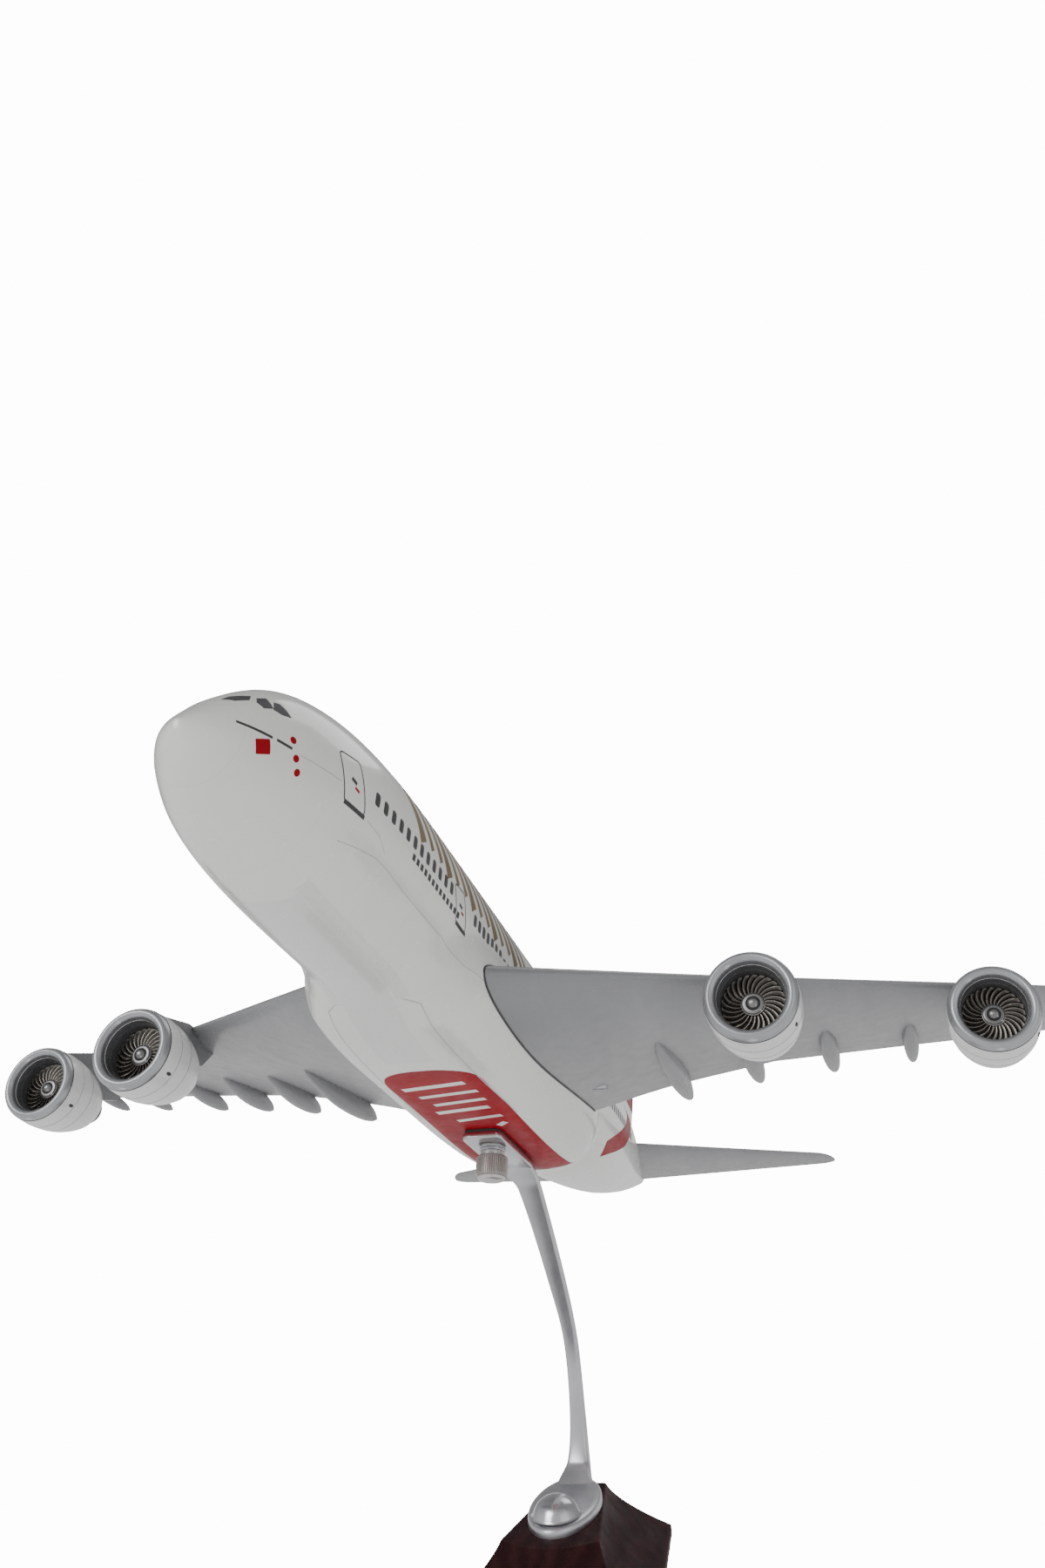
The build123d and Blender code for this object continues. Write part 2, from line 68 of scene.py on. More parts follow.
# Reads a column of a station table at a value of its first column, on a smooth curve
def follow(table, value, column, curve=True):
    rows = list(table)
    at = max(0, min(len(rows) - 2, sum(1 for row in rows[1:-1] if row[0] <= value)))
    low, high = rows[at], rows[at + 1]
    share = min(1.0, max(0.0, (value - low[0]) / (high[0] - low[0])))
    if not curve:
        return mix(low[column], high[column], share)
    span = high[0] - low[0]
    slopes = []
    for spot in (at, at + 1):
        before, after = rows[max(0, spot - 1)], rows[min(len(rows) - 1, spot + 1)]
        slopes.append((after[column] - before[column]) / (after[0] - before[0]) * span)
    s2, s3 = share * share, share ** 3
    return ((2 * s3 - 3 * s2 + 1) * low[column] + (s3 - 2 * s2 + share) * slopes[0]
            + (3 * s2 - 2 * s3) * high[column] + (s3 - s2) * slopes[1])


def meshPiece(name, points, faces, sharp=40):
    mesh = bpy.data.meshes.new(name)
    mesh.from_pydata([tuple(p) for p in points], [], faces)
    mesh.validate()
    work = bmesh.new()
    work.from_mesh(mesh)
    bmesh.ops.remove_doubles(work, verts=work.verts, dist=1e-7)
    bmesh.ops.recalc_face_normals(work, faces=work.faces)
    work.to_mesh(mesh)
    work.free()
    mesh.shade_smooth()
    mesh.set_sharp_from_angle(angle=math.radians(sharp))
    piece = bpy.data.objects.new(name, mesh)
    bpy.context.scene.collection.objects.link(piece)
    return piece


# Quads between rings of equal length; a cap closes onto the ring's middle
def skin(rings, caps=(True, True), start=0):
    around = len(rings[0])
    points = [p for ring in rings for p in ring]
    faces = []
    for row in range(len(rings) - 1):
        for step in range(around):
            a, b = row * around + step, row * around + (step + 1) % around
            faces.append((a, b, b + around, a + around))
    for end, wanted in ((0, caps[0]), (len(rings) - 1, caps[1])):
        if wanted:
            ring = rings[end]
            points.append(sum((Vector(p) for p in ring), Vector()) / around)
            faces += [(len(points) - 1, end * around + s, end * around + (s + 1) % around)
                      for s in range(around)]
    return points, [tuple(i + start for i in face) for face in faces]


# One piece from several closed shells, each a list of rings
def skinPiece(name, shells, sharp=40):
    points, faces = [], []
    for rings in shells:
        more, moreFaces = skin(rings, start=len(points))
        points += more
        faces += moreFaces
    return meshPiece(name, points, faces, sharp)


# Rings about the y axis from (radius, y) points, closed end to end when the profile is
def lathe(profile, segments=96):
    rings = []
    for radius, y in profile:
        rings.append([Vector((radius * math.cos(2 * math.pi * s / segments), y,
                              radius * math.sin(2 * math.pi * s / segments))) for s in range(segments)])
    return rings


# A turned piece; ring joins the last point back to the first
def lathePiece(name, profile, segments=96, sharp=35, ring=False):
    rings = lathe(profile, segments)
    if ring:
        points, faces = skin(rings + [rings[0]], caps=(False, False))
    else:
        points, faces = skin(rings)
    return meshPiece(name, points, faces, sharp)


# Polygon corners in two dimensions with each one rounded; radius may be a list
def rounded(corners, radius, steps=5):
    out, count = [], len(corners)
    for i, corner in enumerate(corners):
        r = radius[i] if isinstance(radius, (list, tuple)) else radius
        if r == 0:
            out.append(Vector(corner))
            continue
        here, before, after = Vector(corner), Vector(corners[i - 1]), Vector(corners[(i + 1) % count])
        inA, inB = (before - here).normalized(), (after - here).normalized()
        half = max(0.2, inA.angle(inB) / 2)
        reach = min(r / math.tan(half), 0.45 * (before - here).length, 0.45 * (after - here).length)
        a, b = here + inA * reach, here + inB * reach
        for s in range(steps + 1):
            t = s / steps
            out.append(a * (1 - t) ** 2 + here * 2 * t * (1 - t) + b * t * t)
    return out


# Puts a finished piece on the stand, gives it its finish and joins it to its body
def settle(piece, body, slotName, material, stands=(), level=True):
    if level:
        piece.data.transform(toStand)
    piece.data.materials.clear()
    piece.data.materials.append(material)
    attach(piece, body)
    if stands:
        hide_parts(*stands)
    return piece


def add(tree, kind, setup=None, wires=None):
    item = tree.nodes.new(kind)
    for key, value in (setup or {}).items():
        setattr(item, key, value)
    for key, value in (wires or {}).items():
        if isinstance(value, bpy.types.NodeSocket):
            tree.links.new(value, item.inputs[key])
        elif isinstance(value, bpy.types.Node):
            tree.links.new(value.outputs[0], item.inputs[key])
        else:
            item.inputs[key].default_value = value
    return item


def calc(tree, operation, a, b=0.0, c=0.0, clamp=False):
    return add(tree, "ShaderNodeMath", {"operation": operation, "use_clamp": clamp}, {0: a, 1: b, 2: c})


# 1 where a value lies between two limits, with soft edges
def between(tree, value, low, high, soft):
    rise = add(tree, "ShaderNodeMapRange", {"interpolation_type": "SMOOTHSTEP"},
               {"Value": value, "From Min": low - soft, "From Max": low + soft})
    fall = add(tree, "ShaderNodeMapRange", {"interpolation_type": "SMOOTHSTEP"},
               {"Value": value, "From Min": high - soft, "From Max": high + soft,
                "To Min": 1.0, "To Max": 0.0})
    return calc(tree, "MULTIPLY", rise, fall)


def blendColour(tree, share, a, b, mode="MIX"):
    item = add(tree, "ShaderNodeMix", {"data_type": "RGBA", "blend_type": mode})
    for place, value in ((0, share), (6, a), (7, b)):
        if isinstance(value, (bpy.types.NodeSocket, bpy.types.Node)):
            source = value if isinstance(value, bpy.types.NodeSocket) else value.outputs[0]
            tree.links.new(source, item.inputs[place])
        else:
            item.inputs[place].default_value = value if place == 0 else (*value, 1)
    return item.outputs[2]


# A new paint with its constants on the shader, and the level airliner's coordinates
def startPaint(name, metal=0.0, coat=0.0, coatRough=0.08, sheen=0.0, specular=0.5, ior=1.5):
    material = bpy.data.materials.new(name)
    material.use_nodes = True
    tree = material.node_tree
    shader = tree.nodes["Principled BSDF"]
    constants = {"Metallic": metal, "Coat Weight": coat, "Coat Roughness": coatRough,
                 "Sheen Weight": sheen, "Specular IOR Level": specular, "IOR": ior}
    for label, value in constants.items():
        shader.inputs[label].default_value = value
    here = add(tree, "ShaderNodeTexCoord")
    turn = toLevel.to_euler()
    level = add(tree, "ShaderNodeMapping", {"vector_type": "POINT"},
                {"Vector": here.outputs["Object"], "Location": toLevel.translation, "Rotation": turn})
    return material, tree, shader, level.outputs[0]


def speckle(tree, where, scale, detail=4.0, rough=0.55, distortion=0.0):
    return add(tree, "ShaderNodeTexNoise", None, {"Vector": where, "Scale": scale, "Detail": detail,
               "Roughness": rough, "Distortion": distortion}).outputs[0]


def spread(tree, value, low, high, fromLow=0.3, fromHigh=0.7):
    return add(tree, "ShaderNodeMapRange", None, {"Value": value, "From Min": fromLow,
               "From Max": fromHigh, "To Min": low, "To Max": high}).outputs[0]


# Stacks bumps: each is (height socket, strength, distance in metres)
def relief(tree, shader, heights):
    last = None
    for height, strength, distance in heights:
        wires = {"Height": height, "Strength": strength, "Distance": distance}
        if last:
            wires["Normal"] = last
        last = add(tree, "ShaderNodeBump", None, wires).outputs[0]
    tree.links.new(last, shader.inputs["Normal"])


# 1 on convex edges, where handling wears a finish; on the fan and the wood it places a painted highlight
def edges(tree, low=0.52, high=0.62):
    shape = add(tree, "ShaderNodeNewGeometry")
    return spread(tree, shape.outputs["Pointiness"], 0.0, 1.0, low, high)


# Cloudy colour, worn edges, uneven roughness and a fine bump, from a dictionary of amounts
def plainFinish(name, colour, second, look):
    material, tree, shader, where = startPaint(
        name, look.get("metal", 0.0), look.get("coat", 0.0), look.get("coatRough", 0.08),
        look.get("sheen", 0.0), look.get("specular", 0.5))
    cloud = speckle(tree, where, look.get("cloud", 40), 5.0)
    base = blendColour(tree, spread(tree, cloud, 0.0, 1.0), colour, second)
    if look.get("worn"):
        amount = calc(tree, "MULTIPLY", edges(tree), look["wornShare"])
        base = blendColour(tree, amount.outputs[0], base, look["worn"])
    tree.links.new(base, shader.inputs["Base Color"])
    smear = speckle(tree, where, look.get("smear", 160), 6.0, 0.6, 0.4)
    tree.links.new(spread(tree, smear, look["rough"][0], look["rough"][1]), shader.inputs["Roughness"])
    grain = speckle(tree, where, look.get("grain", 2400), 3.0)
    relief(tree, shader, [(grain, look.get("bump", 0.1), look.get("depth", 0.00003)),
                          (cloud, 0.05, 0.0002)])
    return material


white, warmWhite = (0.83, 0.83, 0.80), (0.77, 0.775, 0.74)


# 1 on thin straight seams at even spacing along one axis
def panelSeams(tree, where, spacing, thick, axis):
    parts = add(tree, "ShaderNodeSeparateXYZ", None, {0: where})
    offset = calc(tree, "PINGPONG", parts.outputs[axis], spacing / 2)
    return calc(tree, "LESS_THAN", offset, thick)


# Gloss white lacquer with a faint grey walkway on the belly, panel seams and fine orange peel
def hullPaint():
    look = {"stripFrom": 0.062, "stripTo": 0.152, "stripHalf": 0.0072, "belowHeight": -0.02,
            "stripGrey": (0.66, 0.67, 0.67), "seamSpacing": 0.0245, "seamThick": 0.00007,
            "seamGrey": (0.60, 0.61, 0.61), "radome": 0.0092}
    material, tree, shader, where = startPaint("hullLacquer", coat=0.7, coatRough=0.05)
    cloud = speckle(tree, where, 26, 4.0)
    base = blendColour(tree, spread(tree, cloud, 0.0, 1.0), white, warmWhite)
    axes = add(tree, "ShaderNodeSeparateXYZ", None, {0: where})
    low = calc(tree, "LESS_THAN", axes.outputs[2], look["belowHeight"])
    across = between(tree, axes.outputs[0], -look["stripHalf"], look["stripHalf"], 0.00012)
    along = between(tree, axes.outputs[1], look["stripFrom"], look["stripTo"], 0.00012)
    strip = calc(tree, "MULTIPLY", calc(tree, "MULTIPLY", across, along), low)
    base = blendColour(tree, calc(tree, "MULTIPLY", strip, 0.45).outputs[0], base, look["stripGrey"])
    frames = panelSeams(tree, where, look["seamSpacing"], look["seamThick"], 1)
    radome = between(tree, axes.outputs[1], look["radome"], look["radome"] + 0.0001, 0.00005)
    seams = calc(tree, "MAXIMUM", calc(tree, "MULTIPLY", frames, 0.28), calc(tree, "MULTIPLY", radome, 0.5))
    base = blendColour(tree, seams.outputs[0], base, look["seamGrey"])
    tree.links.new(base, shader.inputs["Base Color"])
    haze = speckle(tree, where, 150, 6.0, 0.6, 0.5)
    tree.links.new(spread(tree, haze, 0.16, 0.30), shader.inputs["Roughness"])
    peel = speckle(tree, where, 900, 2.0)
    inverse = calc(tree, "SUBTRACT", 1.0, seams)
    relief(tree, shader, [(peel, 0.05, 0.00003), (inverse.outputs[0], 0.35, 0.00004)])
    return material


# Satin grey with chordwise seams, streaks along the airflow and edges rubbed lighter
def wingPaint(name, grey, second):
    look = {"seamSpacing": 0.0192, "seamThick": 0.00006, "streak": (60, 9, 60)}
    material, tree, shader, where = startPaint(name, coat=0.25, coatRough=0.2)
    stretched = add(tree, "ShaderNodeMapping", None, {"Vector": where, "Scale": look["streak"]})
    streak = speckle(tree, stretched.outputs[0], 1.0, 5.0)
    base = blendColour(tree, spread(tree, streak, 0.0, 1.0), grey, second)
    seams = panelSeams(tree, where, look["seamSpacing"], look["seamThick"], 0)
    base = blendColour(tree, calc(tree, "MULTIPLY", seams, 0.22).outputs[0], base, (0.16, 0.165, 0.17))
    paleEdges = calc(tree, "MULTIPLY", edges(tree, 0.53, 0.66), 0.5)
    base = blendColour(tree, paleEdges.outputs[0], base, (0.62, 0.63, 0.64))
    tree.links.new(base, shader.inputs["Base Color"])
    haze = speckle(tree, where, 210, 6.0, 0.6, 0.3)
    tree.links.new(spread(tree, haze, 0.32, 0.46), shader.inputs["Roughness"])
    inverse = calc(tree, "SUBTRACT", 1.0, seams)
    relief(tree, shader, [(speckle(tree, where, 1600, 2.0), 0.07, 0.00003),
                          (inverse.outputs[0], 0.3, 0.00004)])
    return material


# Dark bronze metal, with a painted highlight that makes each blade's edge brighter
def fanPaint():
    look = {"dark": (0.030, 0.028, 0.026), "middle": (0.080, 0.073, 0.067), "bright": (0.36, 0.325, 0.29)}
    material, tree, shader, where = startPaint("fanBronze", metal=0.85)
    cloud = speckle(tree, where, 420, 5.0)
    base = blendColour(tree, spread(tree, cloud, 0.0, 1.0), look["dark"], look["middle"])
    # Pale colour on the blade edges: a painted highlight
    base = blendColour(tree, edges(tree, 0.505, 0.60), base, look["bright"])
    tree.links.new(base, shader.inputs["Base Color"])
    tree.links.new(spread(tree, speckle(tree, where, 800, 4.0), 0.22, 0.42), shader.inputs["Roughness"])
    relief(tree, shader, [(speckle(tree, where, 3000, 3.0), 0.12, 0.00003)])
    return material


# Dark mahogany under lacquer: grain along the base, pores, and a painted highlight that makes the edges paler
def woodPaint():
    look = {"dark": (0.021, 0.0055, 0.0065), "light": (0.040, 0.0105, 0.012), "stretch": (230, 26, 230)}
    material, tree, shader, where = startPaint("mahoganyLacquer", coat=0.0, specular=0.10)
    here = tree.nodes["Texture Coordinate"].outputs["Object"]
    grainSpace = add(tree, "ShaderNodeMapping", None, {"Vector": here, "Scale": look["stretch"]})
    figure = speckle(tree, grainSpace.outputs[0], 1.0, 7.0, 0.62, 0.9)
    bands = add(tree, "ShaderNodeTexWave", {"wave_type": "BANDS", "bands_direction": "X"},
                {"Vector": here, "Scale": 46, "Distortion": 7.0, "Detail": 4.0, "Detail Scale": 2.0})
    share = calc(tree, "MULTIPLY_ADD", figure, 0.7, calc(tree, "MULTIPLY", bands, 0.3).outputs[0])
    tone = spread(tree, share.outputs[0], 0.0, 1.0, 0.35, 0.75)
    base = blendColour(tree, tone, look["dark"], look["light"])
    # Paler colour on the rounded edges: a painted highlight
    paleEdges = calc(tree, "MULTIPLY", edges(tree, 0.515, 0.60), 0.35)
    base = blendColour(tree, paleEdges.outputs[0], base, (0.16, 0.075, 0.065))
    tree.links.new(base, shader.inputs["Base Color"])
    tree.links.new(spread(tree, speckle(tree, where, 130, 6.0), 0.42, 0.58), shader.inputs["Roughness"])
    relief(tree, shader, [(figure, 0.16, 0.00008), (speckle(tree, where, 1500, 2.0), 0.04, 0.00003)])
    return material


# Matted fibres, dark green-black
def feltPaint():
    material, tree, shader, where = startPaint("pressedFelt", sheen=0.5, specular=0.2)
    fibre = speckle(tree, where, 1900, 8.0, 0.7, 1.5)
    base = blendColour(tree, spread(tree, fibre, 0.0, 1.0), (0.012, 0.016, 0.013), (0.05, 0.06, 0.05))
    tree.links.new(base, shader.inputs["Base Color"])
    tree.links.new(spread(tree, fibre, 0.85, 1.0), shader.inputs["Roughness"])
    relief(tree, shader, [(fibre, 0.7, 0.0003)])
    return material


metals = {
    "lipSilver": ((0.43, 0.44, 0.455), (0.34, 0.35, 0.37),
                  {"metal": 0.75, "rough": (0.26, 0.40), "coat": 0.25, "coatRough": 0.2, "bump": 0.10,
                   "worn": (0.80, 0.80, 0.80), "wornShare": 0.5, "cloud": 90}),
    "ductDark": ((0.13, 0.135, 0.14), (0.08, 0.08, 0.085),
                 {"metal": 0.3, "rough": (0.4, 0.6), "cloud": 160}),
    "spinnerSteel": ((0.27, 0.265, 0.27), (0.20, 0.195, 0.20),
                     {"metal": 0.85, "rough": (0.22, 0.38), "worn": (0.7, 0.7, 0.7), "wornShare": 0.8}),
    "coreSteel": ((0.16, 0.155, 0.15), (0.10, 0.095, 0.09),
                  {"metal": 0.8, "rough": (0.35, 0.55), "worn": (0.4, 0.38, 0.36), "wornShare": 0.6}),
    "pylonGrey": ((0.20, 0.207, 0.215), (0.16, 0.165, 0.172),
                  {"rough": (0.34, 0.5), "coat": 0.2, "coatRough": 0.2, "worn": (0.45, 0.45, 0.46),
                   "wornShare": 0.5}),
    "chromePlate": ((0.64, 0.645, 0.67), (0.55, 0.555, 0.585),
                    {"metal": 1.0, "rough": (0.14, 0.26), "smear": 90, "bump": 0.03, "cloud": 60}),
    "satinPlate": ((0.62, 0.625, 0.65), (0.54, 0.545, 0.575),
                   {"metal": 1.0, "rough": (0.30, 0.42), "smear": 90, "bump": 0.03, "cloud": 60}),
    "knobNickel": ((0.36, 0.325, 0.31), (0.28, 0.25, 0.24),
                   {"metal": 0.9, "rough": (0.34, 0.5), "worn": (0.62, 0.6, 0.57), "wornShare": 0.7}),
    "capNickel": ((0.66, 0.65, 0.63), (0.58, 0.57, 0.55), {"metal": 0.8, "rough": (0.22, 0.36)}),
    "drawnSteel": ((0.55, 0.55, 0.57), (0.45, 0.45, 0.47), {"metal": 1.0, "rough": (0.25, 0.4)}),
    "turnedBrass": ((0.72, 0.52, 0.22), (0.60, 0.42, 0.16), {"metal": 1.0, "rough": (0.25, 0.4)}),
    "padRubber": ((0.025, 0.025, 0.026), (0.045, 0.045, 0.045), {"rough": (0.6, 0.8), "bump": 0.3}),
    "windowTint": ((0.035, 0.037, 0.041), (0.055, 0.057, 0.06),
                   {"rough": (0.3, 0.45), "specular": 0.25, "cloud": 300}),
    "seamInk": ((0.022, 0.022, 0.024), (0.045, 0.045, 0.048), {"rough": (0.4, 0.6), "cloud": 300}),
    "lineInk": ((0.10, 0.10, 0.105), (0.17, 0.17, 0.175), {"rough": (0.3, 0.5), "cloud": 300}),
    "fineInk": ((0.50, 0.50, 0.51), (0.58, 0.58, 0.58), {"rough": (0.2, 0.35), "coat": 0.4}),
    "shadeInk": ((0.72, 0.73, 0.70), (0.77, 0.775, 0.75), {"rough": (0.2, 0.35), "coat": 0.5}),
    "redLacquer": ((0.35, 0.003, 0.010), (0.27, 0.002, 0.008),
                   {"rough": (0.35, 0.5), "coat": 0.05, "coatRough": 0.12, "specular": 0.1, "bump": 0.04,
                    "cloud": 45}),
    "goldPrint": ((0.20, 0.14, 0.07), (0.145, 0.10, 0.05),
                  {"rough": (0.35, 0.5), "specular": 0.25, "cloud": 120}),
    "whitePrint": ((0.82, 0.80, 0.78), (0.74, 0.72, 0.70), {"rough": (0.2, 0.3), "coat": 0.5}),
    "cowlLacquer": ((0.81, 0.81, 0.80), (0.74, 0.74, 0.73),
                    {"rough": (0.18, 0.3), "coat": 0.6, "coatRough": 0.06, "bump": 0.05, "cloud": 60,
                     "worn": (0.9, 0.9, 0.9), "wornShare": 0.3}),
}
paints = {name: plainFinish(name, *recipe) for name, recipe in metals.items()}
paints["hullLacquer"] = hullPaint()
paints["wingGrey"] = wingPaint("wingGrey", (0.235, 0.24, 0.25), (0.275, 0.28, 0.29))
paints["fanBronze"] = fanPaint()
paints["mahoganyLacquer"] = woodPaint()
paints["pressedFelt"] = feltPaint()
print("finishes made:", len(paints))


viewpoint = {"at": (0.1333, -0.1677, -0.1538), "right": (0.9634, 0.2672, 0.0202),
             "down": (-0.1239, 0.5109, -0.8506), "lens": 29.36, "shift": (-0.0213, 0.0017)}


def makeCamera():
    data = bpy.data.cameras.new("viewCamera")
    data.lens, data.sensor_width = viewpoint["lens"], 36.0
    data.shift_x, data.shift_y = viewpoint["shift"]
    data.clip_start, data.clip_end = 0.01, 60.0
    right = Vector(viewpoint["right"]).normalized()
    up = -Vector(viewpoint["down"])
    up = (up - right * up.dot(right)).normalized()
    turn = Matrix((right, up, right.cross(up))).transposed().to_4x4()
    turn.translation = Vector(viewpoint["at"])
    camera = bpy.data.objects.new("viewCamera", data)
    camera.matrix_world = toStand @ turn
    bpy.context.scene.collection.objects.link(camera)
    bpy.context.scene.camera = camera


studio = {"floorHalf": 14.0, "floorColour": (0.93, 0.93, 0.93), "floorLight": 0.26, "floorGlow": 13.4,
          "sky": 0.66, "zenith": 0.38, "front": 1.25, "behind": 0.55, "seen": 14.0,
          "lamps": (("keySoft", (-0.9, -1.5, 1.6), 1.0, 17), ("fillSoft", (1.6, -0.9, 0.9), 1.4, 2.4),
                    ("backSoft", (0.5, 1.6, 1.5), 1.2, 7))}


def makeStudio():
    half = studio["floorHalf"]
    floor = meshPiece("studioFloor", [(-half, -half, 0), (half, -half, 0), (half, half, 0), (-half, half, 0)],
                      [(0, 1, 2, 3)])
    material = bpy.data.materials.new("paleFloor")
    material.use_nodes = True
    shader = material.node_tree.nodes["Principled BSDF"]
    shader.inputs["Base Color"].default_value = (*studio["floorColour"], 1)
    shader.inputs["Roughness"].default_value = 0.75
    seen = add(material.node_tree, "ShaderNodeLightPath").outputs["Is Camera Ray"]
    glow = spread(material.node_tree, seen, studio["floorLight"], studio["floorGlow"], 0.0, 1.0)
    shader.inputs["Emission Color"].default_value = (1, 1, 1, 1)
    material.node_tree.links.new(glow, shader.inputs["Emission Strength"])
    floor.data.materials.append(material)
    for name, place, size, power in studio["lamps"]:
        data = bpy.data.lights.new(name, "AREA")
        data.energy, data.size = power, size
        lamp = bpy.data.objects.new(name, data)
        lamp.location = place
        lamp.rotation_euler = (Vector((0, 0, 0.2)) - Vector(place)).to_track_quat("-Z", "Y").to_euler()
        bpy.context.scene.collection.objects.link(lamp)
    world = bpy.data.worlds.new("softSky")
    world.use_nodes = True
    bpy.context.scene.world = world
    tree = world.node_tree
    here = add(tree, "ShaderNodeTexCoord")
    height = add(tree, "ShaderNodeSeparateXYZ", None, {0: here.outputs["Generated"]})
    level = spread(tree, height.outputs[2], studio["sky"], studio["zenith"], 0.25, 0.9)
    behind = spread(tree, height.outputs[1], studio["front"], studio["behind"], -0.4, 0.6)
    level = calc(tree, "MULTIPLY", level, behind)
    seen = add(tree, "ShaderNodeLightPath").outputs["Is Camera Ray"]
    strength = add(tree, "ShaderNodeMix", {"data_type": "FLOAT"}, {0: seen, 2: level, 3: studio["seen"]})
    tree.links.new(strength.outputs[0], tree.nodes["Background"].inputs["Strength"])
    tree.nodes["Background"].inputs["Color"].default_value = (1, 1, 1, 1)


makeCamera()
makeStudio()
print("camera and studio made")


# Stations: aft, crown, keel, half-width, in full-size metres.
hullStations = (
    (2.47, -1.32, -1.32, 0.0), (2.59, -1.16, -1.82, 0.34), (2.97, -0.70, -2.34, 0.89),
    (3.67, 0.09, -2.88, 1.49), (4.87, 1.33, -3.45, 2.20), (6.47, 2.60, -3.94, 2.88),
    (8.47, 3.36, -4.21, 3.33), (10.97, 3.87, -4.36, 3.58), (13.97, 4.16, -4.40, 3.68),
    (17.47, 4.30, -4.40, 3.68), (34.47, 4.33, -4.39, 3.67), (46.47, 4.32, -4.27, 3.66),
    (52.47, 4.21, -3.59, 3.35), (58.47, 3.91, -2.52, 2.68), (64.47, 3.45, -0.99, 1.76),
    (68.97, 2.96, 0.41, 1.05), (71.87, 2.47, 1.40, 0.55),
)
# Belly fairing: aft, bottom, half-width, upper edge.
fairingStations = ((17.0, -4.15, 2.4, -3.2), (20.0, -4.85, 3.85, -1.9), (24.0, -5.25, 4.4, -0.9),
                   (31.0, -5.34, 4.45, -0.7), (39.0, -5.34, 4.4, -0.9), (43.5, -5.0, 4.0, -1.6),
                   (47.5, -4.1, 2.7, -2.9))
hullForm = {"rings": 230, "around": 128, "crowding": 1.6, "waist": 0.54, "squareness": 3.7,
            "swellFrom": (17.0, 21.5), "swellTo": (42.5, 47.5), "shoulder": (-0.6, 0.8),
            "flat": -5.28, "flatFrom": 11, "flatTo": 51}
noseAft = hullStations[0][0]
rootStations = [(math.sqrt(row[0] - noseAft), *row[1:]) for row in hullStations]  # makes the nose round


# Distance of the hull's skin from the waist line, at an angle round the aft axis
def hullRadius(aft, angle):
    crown, keel, half = (follow(rootStations, math.sqrt(max(0.0, aft - noseAft)), c) for c in (1, 2, 3))
    waist = keel + hullForm["waist"] * (crown - keel)
    c, s = math.cos(angle), math.sin(angle)
    height = max(1e-6, crown - waist if s >= 0 else waist - keel)
    plain = 1 / math.sqrt((c / max(half, 1e-6)) ** 2 + (s / height) ** 2)
    if not fairingStations[0][0] < aft < fairingStations[-1][0] or s >= 0:
        return waist, plain
    bottom, wide, top = (follow(fairingStations, aft, column) for column in (1, 2, 3))
    n = hullForm["squareness"]
    wide, deep = max(wide, half), max(waist - bottom, height)
    boxy = (abs(c / wide) ** n + abs(s / deep) ** n) ** (-1 / n)
    ends = smoothStep(*hullForm["swellFrom"], aft) * (1 - smoothStep(*hullForm["swellTo"], aft))
    low, high = (top + offset for offset in hullForm["shoulder"])
    share = ends * (1 - smoothStep(low, high, waist + plain * s))
    return waist, mix(plain, max(plain, boxy), share)


def hullPoint(aft, angle):
    waist, radius = hullRadius(aft, angle)
    up = waist + radius * math.sin(angle)
    if hullForm["flatFrom"] < aft < hullForm["flatTo"]:
        up = max(up, hullForm["flat"])  # where the stand's plate bears
    return Vector((radius * math.cos(angle), aft, up)) * metre


def makeHull():
    rings, long, around = [], hullStations[-1][0] - noseAft, hullForm["around"]
    for row in range(1, hullForm["rings"] + 1):
        aft = noseAft + long * (row / hullForm["rings"]) ** hullForm["crowding"]
        rings.append([hullPoint(aft, 2 * math.pi * step / around) for step in range(around)])
    points, faces = skin(rings, caps=(False, True))
    points.append(Vector((0, noseAft, hullStations[0][1])) * metre)
    faces += [(len(points) - 1, s, (s + 1) % around) for s in range(around)]
    return meshPiece("fuselage_skin", points, faces, 50)


hull = makeHull()
hullTree = BVHTree.FromObject(hull, bpy.context.evaluated_depsgraph_get())
settle(hull, "aircraft", "hull_white", paints["hullLacquer"], ["fuselage"])
print("fuselage made:", len(hull.data.polygons), "faces")


# Wing: out, leading and trailing edge aft, their heights, thickness ratio, in full-size metres.
wingStations = ((3.0, 21.0, 41.4, -2.55, -2.70, 0.125), (8.4, 25.0, 41.5, -1.55, -1.30, 0.110),
                (14.3, 29.5, 42.1, -0.42, -0.05, 0.100), (25.6, 38.1, 47.1, 1.75, 2.25, 0.095),
                (39.4, 48.5, 52.6, 4.35, 4.75, 0.090))
tailplaneStations = ((0.4, 61.7, 69.7, 1.75, 1.25, 0.100), (15.2, 71.0, 73.0, 2.75, 2.65, 0.090))
# Fin: height, leading and trailing edge aft, thickness ratio.
finStations = ((2.5, 55.1, 69.4, 0.095), (4.6, 57.5, 69.7, 0.095), (17.6, 67.9, 72.4, 0.090))
foilForm = {"steps": 34, "blunt": 0.07, "wingRings": 110, "tailRings": 40, "finRings": 60,
            "straightFrom": 38, "tip": 1.1, "tipCrowding": 1.6, "tipLead": 0.7, "tipTrail": 0.3}
finBands = {"levels": ((6.4, 8.0), (8.7, 9.3), (9.9, 10.2)), "swell": 0.012, "rings": 8}


def halfThickness(share, depth):
    form = 0.2969 * math.sqrt(share) - 0.126 * share - 0.3516 * share ** 2
    return 5 * depth * (form + 0.2843 * share ** 3 - 0.1036 * share ** 4)


